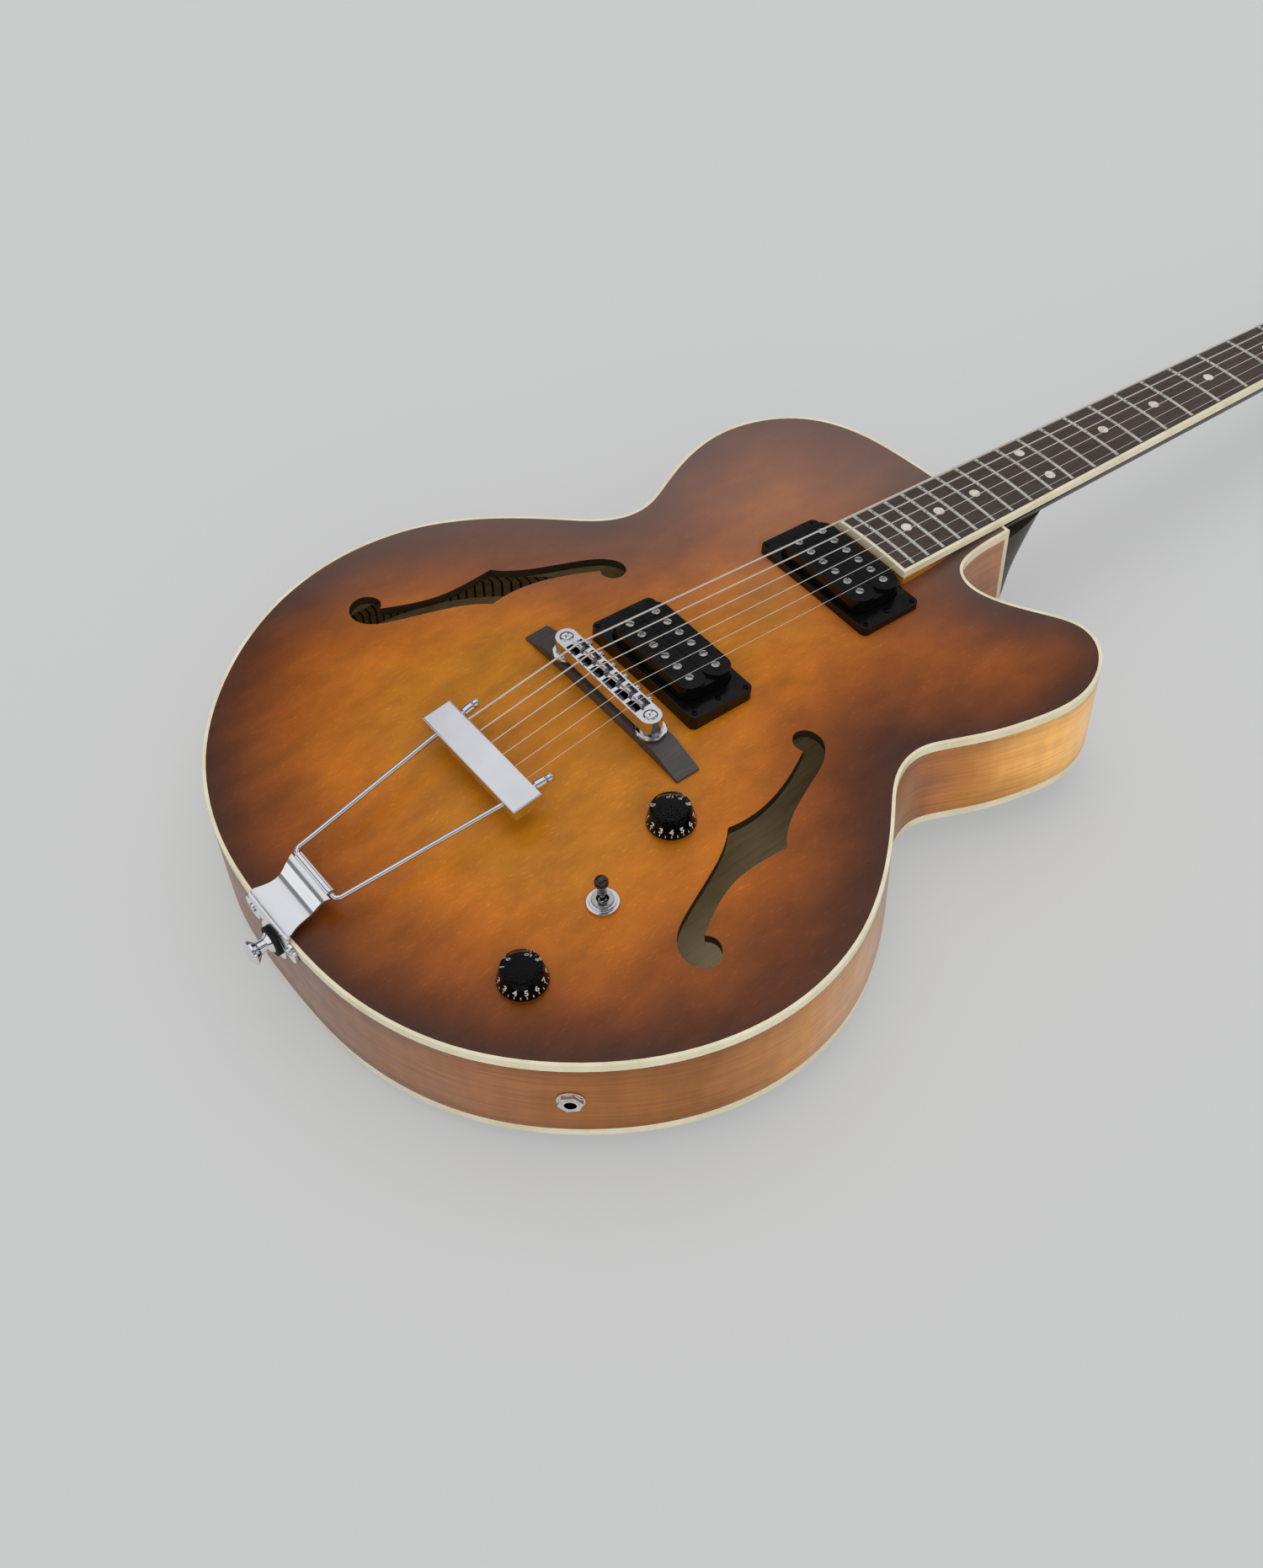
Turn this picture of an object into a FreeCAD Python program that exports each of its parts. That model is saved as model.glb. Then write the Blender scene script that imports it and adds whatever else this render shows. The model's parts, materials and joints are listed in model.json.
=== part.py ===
"""Hollow archtop guitar: arched plates on bent ribs, set neck, trapeze tailpiece and two pickups.

Working frame: +X towards the treble side, +Y towards the head, +Z out of the soundboard, with the
origin where the bridge line crosses the rim plane. At the end every piece moves into the resting
frame, in which the back and the tip of the head lie on Z = 0.
"""
import FreeCAD, Part
import math
import os
import Sketcher

V = FreeCAD.Vector
Place = FreeCAD.Placement
Turn = FreeCAD.Rotation

SIZES = {
    # Body plan and depth
    "body_width": 411.0,
    "body_length": 487.6,
    "rib_depth": 65.0,
    "rib_thickness": 2.8,
    "plate_thickness": 5.5,
    "top_rise": 14.2,
    "top_flat": 36.0,
    "back_rise": 13.0,
    "back_flat": 6.0,
    "binding_width": 2.0,
    "heel_strip_width": 3.4,
    # Inner woodwork
    "lining_width": 5.0,
    "lining_height": 12.0,
    "tone_bar_spacing": 108.0,
    "tone_bar_length": 300.0,
    "tone_bar_width": 8.0,
    "tone_bar_height": 12.0,
    "tail_block_width": 80.0,
    "tail_block_length": 24.0,
    # Sound holes
    "sound_hole_length": 145.0,
    "sound_hole_y": 4.0,
    # Scale and fretboard
    "scale_length": 628.0,
    "saddle_line": 3.3,
    "board_line_height": 33.5,
    "board_rim_height": 6.16,
    "board_overhang": 9.8,
    "board_thickness": 6.0,
    "board_radius": 305.0,
    "board_nut_width": 43.0,
    "board_end_width": 56.6,
    "board_binding_width": 2.2,
    "fret_width": 2.4,
    "fret_height": 1.0,
    "fret_inset": 0.3,
    "dot_diameter": 6.6,
    "dot_depth": 2.0,
    "dot_pair_spacing": 26.0,
    # Nut
    "nut_thickness": 4.6,
    "nut_rise": 2.6,
    "nut_slot_clearance": 0.25,
    # Neck
    "neck_depth_nut": 14.5,
    "neck_depth_heel": 17.0,
    "heel_width": 55.0,
    "heel_foot_width": 60.0,
    "heel_reach": 62.0,
    "heel_foot_reach": 14.0,
    "heel_cap_thickness": 3.0,
    "tenon_width": 28.0,
    "tenon_height": 40.0,
    "tongue_inset": 2.0,
    "truss_rod_width": 6.0,
    "truss_rod_height": 9.0,
    "truss_rod_gap": 16.7,
    # Head
    "head_length": 176.0,
    "head_width": 82.0,
    "head_thickness": 14.0,
    "head_pitch": 13.0,
    "veneer_thickness": 1.5,
    "truss_cover_length": 32.0,
    "truss_cover_width": 22.0,
    "truss_cover_thickness": 2.0,
    "truss_cover_gap": 3.0,
    # Tuners
    "tuner_first": 46.0,
    "tuner_spacing": 40.0,
    "tuner_offset": 24.5,
    "post_diameter": 6.0,
    "post_height": 19.0,
    "post_hole_height": 11.0,
    "post_hole_diameter": 1.8,
    "post_bed": 5.0,
    "bushing_diameter": 9.6,
    "bushing_depth": 8.0,
    "bushing_flange_diameter": 13.0,
    "bushing_flange_thickness": 1.8,
    "tuner_case_length": 22.0,
    "tuner_case_width": 15.0,
    "tuner_case_height": 9.5,
    "key_shaft_diameter": 4.0,
    "key_gap": 4.0,
    "key_length": 13.0,
    "key_height": 18.0,
    "key_thickness": 6.5,
    # Strings, from the lowest to the highest
    "string_6_diameter": 1.17,
    "string_5_diameter": 0.91,
    "string_4_diameter": 0.66,
    "string_3_diameter": 0.43,
    "string_2_diameter": 0.33,
    "string_1_diameter": 0.25,
    "string_nut_spread": 35.4,
    "string_bridge_spread": 53.0,
    "string_nut_height": 2.0,
    "string_bridge_height": 3.7,
    "string_ball_diameter": 3.6,
    "string_bend": 8.0,
    # Bridge
    "base_length": 136.0,
    "base_width": 15.0,
    "base_flat_length": 96.0,
    "base_top": 20.5,
    "base_end_top": 13.4,
    "bridge_post_spacing": 74.0,
    "bridge_post_diameter": 7.0,
    "bridge_post_bed": 6.0,
    "wheel_diameter": 17.0,
    "wheel_thickness": 3.6,
    "wheel_lift": 1.2,
    "wheel_notch_diameter": 1.4,
    "bridge_width": 12.6,
    "bridge_height": 8.6,
    "bridge_floor": 2.2,
    "bridge_wall": 1.1,
    "saddle_width": 7.6,
    "saddle_length": 5.2,
    "saddle_shoulder": 4.6,
    "saddle_ridge": 0.8,
    "saddle_notch_depth": 0.9,
    "saddle_clearance": 0.3,
    "string_seat_gap": 0.3,
    # Trapeze tailpiece
    "hinge_from_tail": 28.6,
    "hinge_height": 13.6,
    "hinge_half_width": 18.5,
    "barrel_half_length": 15.5,
    "bracket_thickness": 1.6,
    "bracket_lift": 3.0,
    "bracket_ear_spacing": 35.6,
    "bracket_ear_diameter": 13.6,
    "bracket_ear_drop": 7.0,
    "bracket_middle_diameter": 23.0,
    "bracket_waist_depth": 2.8,
    "bracket_waist_length": 24.0,
    "barrel_wall": 1.2,
    "rod_diameter": 3.0,
    "rod_bend": 4.0,
    "rod_side_gap": 1.7,
    "rod_spread": 67.0,
    "rod_length": 124.0,
    "rod_collar_diameter": 5.8,
    "rod_collar_length": 5.5,
    "rod_tip_diameter": 5.4,
    "trapeze_angle": 6.4,
    "bar_length": 84.0,
    "bar_width": 18.2,
    "bar_height": 7.4,
    "bar_wall": 1.6,
    "bar_from_hinge": 96.0,
    "bar_top": 4.6,
    "bar_edge_round": 1.0,
    "string_anchor": 4.0,
    # Strap button
    "button_height": 13.0,
    "button_head_diameter": 14.0,
    "button_head_thickness": 3.0,
    "button_waist_diameter": 7.6,
    "button_foot_diameter": 12.0,
    "button_foot_thickness": 2.6,
    "felt_diameter": 17.0,
    "felt_thickness": 2.4,
    "end_button_drop": 16.0,
    # Pickups
    "bridge_pickup_y": 42.8,
    "neck_pickup_gap": 4.4,
    "bridge_ring_drop": 9.2,
    "neck_ring_drop": 9.6,
    "pickup_tilt": 5.9,
    "ring_length": 91.6,
    "ring_width": 42.6,
    "ring_corner": 4.0,
    "ring_depth": 22.0,
    "bobbin_length": 69.0,
    "bobbin_width": 17.6,
    "bobbin_gap": 0.4,
    "bobbin_stand": 8.6,
    "bobbin_flange": 1.8,
    "bobbin_depth": 14.0,
    "pickup_clearance": 0.5,
    "pickup_base_thickness": 2.0,
    "pickup_leg_length": 86.0,
    "pickup_leg_width": 12.0,
    "pickup_cut_margin": 1.0,
    # Controls
    "knob_diameter": 26.4,
    "knob_top_diameter": 18.6,
    "knob_height": 11.6,
    "knob_rim_height": 1.6,
    "knob_lift": 1.6,
    "knob_cave_diameter": 17.0,
    "knob_cave_depth": 4.2,
    "shaft_diameter": 6.0,
    "shaft_depth": 6.0,
    "pot_diameter": 24.0,
    "pot_height": 8.0,
    "pot_drop": 1.8,
    "pot_thread_diameter": 9.2,
    "pot_thread_stand": 4.4,
    "pot_nut_width": 13.0,
    "pot_nut_height": 2.2,
    "nut_sink": 1.4,
    "switch_thread_diameter": 11.6,
    "switch_thread_stand": 4.2,
    "switch_box_length": 22.0,
    "switch_box_width": 13.0,
    "switch_box_height": 18.0,
    "switch_bore_diameter": 6.4,
    "switch_pivot_stand": 1.0,
    "switch_washer_diameter": 17.2,
    "switch_washer_height": 1.4,
    "switch_nut_diameter": 14.0,
    "switch_nut_height": 3.0,
    "lever_diameter": 3.0,
    "lever_below": 3.0,
    "lever_pivot_diameter": 5.0,
    "lever_pivot_length": 3.6,
    "lever_stand": 16.0,
    "lever_tip_diameter": 7.6,
    "hole_clearance": 0.1,
    # Output jack
    "jack_drop": 31.0,
    "jack_bore_diameter": 6.4,
    "jack_sleeve_diameter": 9.2,
    "jack_sleeve_stand": 3.6,
    "jack_case_diameter": 17.0,
    "jack_case_length": 16.0,
    "jack_case_gap": 0.4,
    "jack_washer_diameter": 14.4,
    "jack_washer_thickness": 0.8,
    "jack_nut_width": 11.6,
    "jack_nut_height": 2.4,
    # Fits
    "glue_gap": 0.1,
    "running_clearance": 0.05,
    "slide_clearance": 0.3,
    "overrun": 60.0,
}

# Plan outline of the bass side from tail to neck: shares of half the width and of the length
BASS_OUTLINE_SHARES = [
    (0, 0), (-0.301, 0.010), (-0.571, 0.054), (-0.792, 0.134), (-0.938, 0.231), (-1.000, 0.354),
    (-0.946, 0.4635), (-0.842, 0.5355), (-0.7085, 0.598), (-0.6375, 0.6315), (-0.599, 0.678),
    (-0.640, 0.730), (-0.703, 0.799), (-0.716, 0.843), (-0.688, 0.899), (-0.595, 0.953),
    (-0.450, 0.984), (-0.280, 0.9955), (-0.140, 0.9992), (0, 1),
]
# The treble side leaves the mirrored bass outline below the waist, then runs round horn and cutaway
SHARED_OUTLINE_POINTS = 10
HORN_OUTLINE_SHARES = [
    (0.606, 0.674), (0.634, 0.709), (0.689, 0.760), (0.720, 0.802), (0.738, 0.839), (0.740, 0.868),
    (0.722, 0.8985), (0.680, 0.927), (0.624, 0.945), (0.560, 0.950), (0.472, 0.9364), (0.330, 0.905),
    (0.243, 0.899), (0.190, 0.908), (0.161, 0.935), (0.155, 0.965), (0.157, 1),
]
# The bridge line along the body, and places as shares of half the width and of the tail's length
BRIDGE_LINE_SHARE = 0.44217
CONTROL_SHARES = {"volume": (0.416, -0.117), "tone": (0.5474, -0.6447), "switch": (0.4964, -0.3803)}
SOUND_HOLE_SHARE = 0.584
JACK_SHARE = -0.6957
NECK_BLOCK_SHARE = 0.132
# Neck block and tenon, as shares of the way from the end of the fretboard to the neck edge
BLOCK_LENGTH_SHARE = 0.6444
TENON_LENGTH_SHARE = 0.4461
# Sound hole of the treble side about its middle: shares of its length, one run between two corners
SOUND_HOLE_SHARES = [
    [(-0.211, 0.393), (-0.148, 0.270), (-0.094, 0.083), (-0.100, -0.055)],
    [(-0.100, -0.055), (0.007, -0.214), (0.086, -0.393), (0.155, -0.490), (0.222, -0.512),
     (0.283, -0.488), (0.305, -0.430), (0.262, -0.380), (0.193, -0.400)],
    [(0.193, -0.400), (0.148, -0.326), (0.086, -0.166), (0.080, -0.048), (0.086, 0.060)],
    [(0.086, 0.060), (-0.021, 0.190), (-0.101, 0.363), (-0.158, 0.455), (-0.221, 0.490),
     (-0.279, 0.470), (-0.292, 0.421), (-0.257, 0.386), (-0.211, 0.393)],
]
# Head outline, one side: shares of half the head width and of the head length
HEAD_OUTLINE_SHARES = [(0.585, 0.070), (0.805, 0.175), (0.880, 0.350), (0.935, 0.620), (1.0, 0.900)]
# Heel between neck and foot: depth down the rib, width and reach, as shares of top to foot change
HEEL_SHARES = [(0.0, 0.0, 0.0), (0.12, 0.50, 0.20), (0.28, 0.85, 0.40), (0.52, 1.0, 0.66),
               (0.78, 1.0, 0.84), (1.0, 1.0, 1.0)]
# Bracket of the tailpiece from the rib's edge to the hinge: shares of the hinge's distance and height
BRACKET_SHARES = [(0.0, 0.0), (0.16, 0.14), (0.44, 0.22), (0.60, 0.40), (0.76, 0.80), (0.90, 0.95)]
BRACKET_WAIST_SHARE = 0.52
TRUSS_COVER_SHARES = [(0.30, 1.0), (0.62, 0.55), (1.0, 0.0)]

# Fall of the arch from its crest towards the sides, the tail and the neck
SIDE_POWER = 1.4
TOP_NECK_POWER = 2.5
BACK_NECK_POWER = 1.4
ARCH_COLUMNS = 24
ARCH_ROWS = 30
WIDTH_STEPS = 160
REST_STEPS = 200
BEND_STEPS = 4
INSET_STEPS = 54
FRET_COUNT = 20
DOT_FRETS = (3, 5, 7, 9, 15, 17, 19)
DOT_PAIR_FRET = 12
STRING_COUNT = 6
WHEEL_NOTCHES = 18
SQUARE_TURN = 90
FULL_TURN = 360
HEX_SIDES = 6

doc = FreeCAD.newDocument("archtop_guitar")
sheet = doc.addObject("Spreadsheet::Sheet", "Sizes")
for row, (size_name, size_value) in enumerate(SIZES.items(), start=1):
    sheet.set(f"A{row}", size_name)
    sheet.set(f"B{row}", str(size_value))
    sheet.setAlias(f"B{row}", size_name)
doc.recompute()

parts = {}


def mm(name):
    """The value of one cell of the sheet."""
    return float(sheet.get(name))


def cell(name):
    """The expression that binds a property to one cell."""
    return f"Sizes.{name}"


tail_length = mm("body_length") * BRIDGE_LINE_SHARE
neck_edge = mm("body_length") - tail_length
nut_line = mm("scale_length") + mm("saddle_line")
# The fretboard leans so that its face passes over the neck edge at its rim height
board_slope = (mm("board_line_height") - mm("board_rim_height")) / neck_edge
neck_frame = Place(V(0, 0, mm("board_line_height")), Turn(V(1, 0, 0), -math.degrees(math.atan(board_slope))))
head_frame = neck_frame.multiply(Place(
    V(0, nut_line + mm("nut_thickness"), -mm("board_thickness")), Turn(V(1, 0, 0), -mm("head_pitch"))))
hinge_y = mm("hinge_from_tail") - tail_length
trapeze_frame = Place(V(0, hinge_y, mm("hinge_height")), Turn(V(1, 0, 0), mm("trapeze_angle")))


# Helpers for document objects
def keep(label, thing):
    """Name a document object as a sub-part that is written out."""
    thing.Label = label
    parts[label] = thing
    return thing


def feature(label, shape):
    """A plain feature for a shape that no body or primitive gives."""
    thing = doc.addObject("Part::Feature", label)
    thing.Shape = shape
    return thing


def in_frame(shape, frame):
    """A copy of a shape, carried into a frame."""
    moved = shape.copy()
    moved.Placement = frame.multiply(moved.Placement)
    return moved


def facing(base, direction):
    """The place whose Z axis starts at base and points along direction."""
    return Place(base, Turn(V(0, 0, 1), direction))


def cylinder(radius, height, place):
    """A cylinder whose radius and height are expressions of the sheet."""
    thing = doc.addObject("Part::Cylinder", "round")
    thing.setExpression("Radius", radius)
    thing.setExpression("Height", height)
    thing.Placement = place
    return thing


def box(length, width, height, place):
    """A box centred in X and Y on its place, with expressions of the sheet as sizes."""
    thing = doc.addObject("Part::Box", "block")
    thing.setExpression("Length", length)
    thing.setExpression("Width", width)
    thing.setExpression("Height", height)
    doc.recompute([thing])
    middle = V(-thing.Length.Value / 2, -thing.Width.Value / 2, 0)
    thing.Placement = place.multiply(Place(middle, Turn()))
    return thing


def fuse(label, things):
    thing = doc.addObject("Part::MultiFuse", label)
    thing.Shapes = things
    return thing


def group(label, things):
    """Separate solids that share one name."""
    thing = doc.addObject("Part::Compound", label)
    thing.Links = things
    return thing


def cut(label, base, tool):
    thing = doc.addObject("Part::Cut", label)
    thing.Base = base
    thing.Tool = tool
    return thing


def common(label, base, tool):
    thing = doc.addObject("Part::Common", label)
    thing.Base = base
    thing.Tool = tool
    return thing


def evaluate(expression):
    """The number that an expression of the sheet stands for."""
    return float(sheet.evalExpression(expression.replace("Sizes.", "")))


def sketch_polygon(body, plane, corners):
    """A closed sketch whose corners are pairs of expressions."""
    sketch = body.newObject("Sketcher::SketchObject", "outline")
    support = [item for item in body.Origin.OriginFeatures if item.Role == plane][0]
    sketch.AttachmentSupport = [(support, "")]
    sketch.MapMode = "FlatFace"
    places = [(evaluate(x), evaluate(y)) for x, y in corners]
    count = len(corners)
    for i, (x, y) in enumerate(places):
        end_x, end_y = places[(i + 1) % count]
        sketch.addGeometry(Part.LineSegment(V(x, y, 0), V(end_x, end_y, 0)))
    for i in range(count):
        sketch.addConstraint(Sketcher.Constraint("Coincident", i, 2, (i + 1) % count, 1))
    for i in range(count):
        for kind, side, axis in (("DistanceX", 0, -2), ("DistanceY", 1, -1)):
            value = places[i][side]
            if value == 0:
                sketch.addConstraint(Sketcher.Constraint("PointOnObject", i, 1, axis))
                continue
            number = sketch.addConstraint(Sketcher.Constraint(kind, -1, 1, i, 1, value))
            sketch.setExpression(f"Constraints[{number}]", corners[i][side])
    return sketch


def pad(body, sketch, length, symmetric=False):
    thing = body.newObject("PartDesign::Pad", "pad")
    thing.Profile = sketch
    thing.setExpression("Length", length)
    if symmetric:
        thing.SideType = "Symmetric"
    sketch.Visibility = False
    return thing


def revolve(body, corners):
    """A turned piece about Z from a profile of radius and height expressions."""
    sketch = sketch_polygon(body, "XZ_Plane", corners)
    thing = body.newObject("PartDesign::Revolution", "turned")
    thing.Profile = sketch
    thing.ReferenceAxis = (sketch, ["V_Axis"])
    thing.Angle = FULL_TURN
    return thing


def new_body(label):
    body = doc.addObject("PartDesign::Body", label)
    body.Label = label
    return body


def polyline_tube(points, bend, radius):
    """A round bar along straight runs joined by tangent arcs."""
    edges = []
    start = points[0]
    for before, corner, after in zip(points, points[1:], points[2:]):
        a = (before - corner).normalize()
        b = (after - corner).normalize()
        half = a.getAngle(b) / 2
        reach = bend / math.tan(half)
        middle = corner + (a + b).normalize() * (bend / math.sin(half) - bend)
        edges.append(Part.makeLine(start, corner + a * reach))
        edges.append(Part.Arc(corner + a * reach, middle, corner + b * reach).toShape())
        start = corner + b * reach
    edges.append(Part.makeLine(start, points[-1]))
    profile = Part.Wire(Part.makeCircle(radius, points[0], points[1] - points[0]))
    return Part.Wire(edges).makePipeShell([profile], True, False)


def spline_through(points, tangents=None):
    curve = Part.BSplineCurve()
    if tangents:
        flags = [item is not None for item in tangents]
        curve.interpolate(Points=points, Tangents=[item or V(1, 0, 0) for item in tangents], TangentFlags=flags)
    else:
        curve.interpolate(Points=points)
    return curve


# Plan outline
def plan_point(share):
    return V(share[0] * mm("body_width") / 2, share[1] * mm("body_length") - tail_length, 0)


def outline_curve(side):
    """The outer outline of one side, from the tail to the neck edge."""
    if side < 0:
        points = [plan_point(share) for share in BASS_OUTLINE_SHARES]
    else:
        shared = [(-x, y) for x, y in BASS_OUTLINE_SHARES[:SHARED_OUTLINE_POINTS]]
        points = [plan_point(share) for share in shared + HORN_OUTLINE_SHARES]
    return spline_through(points, [V(side, 0, 0)] + [None] * (len(points) - 1))


OUTER = {-1: outline_curve(-1), 1: outline_curve(1)}


def inset_curve(side, distance):
    """The outline moved inwards, stopped at the moved neck edge."""
    curve = OUTER[side]
    if distance == 0:
        return curve
    first, last = curve.FirstParameter, curve.LastParameter
    limit = neck_edge - distance
    points = []
    for step in range(INSET_STEPS + 1):
        where = first + (last - first) * step / INSET_STEPS
        along = curve.tangent(where)[0]
        inwards = V(along.y, -along.x, 0) * -side
        place = curve.value(where) + inwards * distance
        if side > 0 and place.y >= limit:
            share = (limit - points[-1].y) / (place.y - points[-1].y)
            points.append(points[-1] + (place - points[-1]) * share)
            break
        points.append(place)
    if side < 0:
        points[-1] = V(0, limit, 0)
    return spline_through(points)


def side_edges(side, distance):
    """The outline of one side from the tail's middle to the neck's middle."""
    curve = inset_curve(side, distance)
    edges = [curve.toShape()]
    if side > 0:
        edges.append(Part.makeLine(curve.value(curve.LastParameter), V(0, neck_edge - distance, 0)))
    return edges


def plan_face(distance):
    edges = side_edges(-1, distance) + side_edges(1, distance)
    return Part.Face(Part.Wire(Part.__sortEdges__(edges)))


def half_ring(side, outer, inner):
    """The strip of one side between two insets of the outline."""
    tail = -tail_length
    edges = side_edges(side, outer) + side_edges(side, inner)
    edges.append(Part.makeLine(V(0, tail + outer, 0), V(0, tail + inner, 0)))
    edges.append(Part.makeLine(V(0, neck_edge - outer, 0), V(0, neck_edge - inner, 0)))
    return Part.Face(Part.Wire(Part.__sortEdges__(edges)))


def slab(face, low, high):
    lifted = face.copy()
    lifted.translate(V(0, 0, low))
    return lifted.extrude(V(0, 0, high - low))


def outline_place(side, y):
    """The first point of the outline at a height on the body, and its outward direction."""
    curve = OUTER[side]
    low, high = curve.FirstParameter, curve.parameter(plan_point((side, BASS_OUTLINE_SHARES[5][1])))
    while high - low > 1e-6 * curve.LastParameter:
        where = (low + high) / 2
        if curve.value(where).y < y:
            low = where
        else:
            high = where
    along = curve.tangent(low)[0]
    return curve.value(low), V(along.y, -along.x, 0) * side


# Arched plates
WIDTH_LINE = [(p.y, abs(p.x)) for p in inset_curve(-1, mm("binding_width")).discretize(Number=WIDTH_STEPS)]


def half_width(y):
    """Half the plate's width at one station, from the plain bass side."""
    for (low_y, low_x), (high_y, high_x) in zip(WIDTH_LINE, WIDTH_LINE[1:]):
        if low_y <= y <= high_y and high_y > low_y:
            return low_x + (high_x - low_x) * (y - low_y) / (high_y - low_y)
    return 0


def arch_share(x, y, reach, neck_power):
    """The height of the arch as a share of its rise."""
    wide = half_width(y)
    tail_reach = tail_length - mm("binding_width")
    along = y / reach if y > 0 else -y / tail_reach
    if abs(x) >= wide or along >= 1:
        return 0
    power = neck_power if y > 0 else SIDE_POWER
    return (1 - (x / wide) ** 2) ** SIDE_POWER * (1 - along ** 2) ** power


def top_height(x, y):
    return mm("top_rise") * arch_share(x, y, neck_edge - mm("top_flat"), TOP_NECK_POWER)


def back_height(x, y):
    return -mm("rib_depth") - mm("back_rise") * arch_share(x, y, neck_edge - mm("back_flat"), BACK_NECK_POWER)


def arched_face(height):
    """One smooth face through the arch, wider than the plate all round."""
    margin = mm("lining_height")
    wide = mm("body_width") / 2 + margin
    low, high = -tail_length - margin, neck_edge + margin
    rows = []
    for row_step in range(ARCH_ROWS + 1):
        y = low + (high - low) * row_step / ARCH_ROWS
        xs = [wide * (2 * step / ARCH_COLUMNS - 1) for step in range(ARCH_COLUMNS + 1)]
        rows.append([V(x, y, height(x, y)) for x in xs])
    surface = Part.BSplineSurface()
    surface.interpolate(rows)
    return surface.toShape()


TOP_FACE = arched_face(top_height)
BACK_FACE = arched_face(back_height)
UNDER_TOP = TOP_FACE.extrude(V(0, 0, -mm("rib_depth") - mm("overrun")))


def sound_hole(side):
    """A through cutter for one sound hole."""
    size = mm("sound_hole_length")
    edges = []
    for run in SOUND_HOLE_SHARES:
        middle = SOUND_HOLE_SHARE * mm("body_width") / 2
        places = [V(side * (middle + x * size), mm("sound_hole_y") + y * size, 0) for x, y in run]
        edges.append(spline_through(places).toShape())
    face = Part.Face(Part.Wire(Part.__sortEdges__(edges)))
    return slab(face, -mm("overrun"), mm("overrun"))


def fret_place(number):
    return mm("saddle_line") + mm("scale_length") * 2 ** (-number / 12)


def board_end():
    """The end of the fretboard on the body, past the last fret."""
    return fret_place(FRET_COUNT) - mm("board_overhang")


def block_room():
    """The way from the end of the fretboard to the neck edge."""
    return neck_edge - board_end()


def pickup_frame(y, drop):
    """The top of a pickup ring, below the line of the fretboard."""
    line = mm("board_line_height") - y * board_slope
    return Place(V(0, y, line - mm(drop)), Turn(V(1, 0, 0), -mm("pickup_tilt")))


PICKUPS = {"bridge": pickup_frame(mm("bridge_pickup_y"), "bridge_ring_drop"),
           "neck": pickup_frame(board_end() - mm("neck_pickup_gap") - mm("ring_width") / 2, "neck_ring_drop")}


def centred_box(length, width, low, high):
    return Part.makeBox(length, width, high - low, V(-length / 2, -width / 2, low))


def bobbins_width():
    return 2 * mm("bobbin_width") + mm("bobbin_gap")


def pickup_hole():
    """A through cutter for a pickup and its legs, in the pickup's own frame."""
    margin = mm("pickup_cut_margin")
    deep = mm("overrun")
    pocket = centred_box(mm("bobbin_length") + 2 * margin, bobbins_width(), -deep, deep)
    legs = centred_box(mm("pickup_leg_length") + 2 * margin, mm("pickup_leg_width") + 2 * margin, -deep, deep)
    return pocket.fuse(legs)


def control_place(name):
    """Where a control stands on the soundboard."""
    across, along = CONTROL_SHARES[name]
    x, y = across * mm("body_width") / 2, along * tail_length
    return V(x, y, top_height(x, y))


def upright_hole(name, diameter):
    radius = mm(diameter) / 2 + mm("hole_clearance")
    place = control_place(name)
    return Part.makeCylinder(radius, 2 * mm("overrun"), V(place.x, place.y, -mm("overrun")))


def make_plates():
    inner = plan_face(mm("binding_width"))
    tall = slab(inner, -mm("rib_depth") - mm("overrun"), mm("overrun"))
    holes = [sound_hole(-1), sound_hole(1)]
    holes += [in_frame(pickup_hole(), frame) for frame in PICKUPS.values()]
    holes += [upright_hole(name, "pot_thread_diameter") for name in ("volume", "tone")]
    holes.append(upright_hole("switch", "switch_thread_diameter"))
    top = TOP_FACE.extrude(V(0, 0, -mm("plate_thickness"))).common(tall).cut(holes)
    keep("soundboard", feature("soundboard", top))
    back = BACK_FACE.extrude(V(0, 0, mm("plate_thickness"))).common(tall)
    keep("back_plate", feature("back_plate", back))


# Ribs, binding and inner woodwork
JACK_POINT, JACK_WAY = outline_place(1, JACK_SHARE * tail_length)
JACK_FRAME = facing(V(JACK_POINT.x, JACK_POINT.y, -mm("jack_drop")), JACK_WAY)


def tenon_box():
    """The tenon of the neck, which passes through the ribs into the neck block."""
    top = -mm("plate_thickness") - mm("lining_height") / 2
    size = V(mm("tenon_width"), TENON_LENGTH_SHARE * block_room(), mm("tenon_height"))
    corner = V(-size.x / 2, neck_edge - size.y, top - size.z)
    return Part.makeBox(size.x, size.y, size.z, corner)


def heel_strip_box():
    """The corner of the cutaway, where the binding runs down the heel."""
    strip = mm("heel_strip_width")
    corner = V(0, neck_edge - strip, -mm("rib_depth"))
    reach = V(mm("body_width") / 2, strip, mm("rib_depth"))
    near = HORN_OUTLINE_SHARES[-1][0] * mm("body_width") / 2 - mm("rib_thickness")
    return Part.makeBox(reach.x, reach.y, reach.z, corner + V(near, 0, 0))


def rib_levels():
    """Foot and top of the ribs, a glue line away from the plates."""
    inside = mm("plate_thickness") + mm("glue_gap")
    return inside - mm("rib_depth"), -inside


def make_ribs():
    low, high = rib_levels()
    jack_hole = Part.makeCylinder(
        mm("jack_sleeve_diameter") / 2 + mm("hole_clearance"), 2 * mm("overrun"), V(0, 0, -mm("overrun")))
    for label, side in (("bass_rib", -1), ("treble_rib", 1)):
        strip = slab(half_ring(side, 0, mm("rib_thickness")), low, high).cut(tenon_box())
        if side > 0:
            strip = strip.cut([in_frame(jack_hole, JACK_FRAME), heel_strip_box()])
        keep(label, feature(label, strip))


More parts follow.
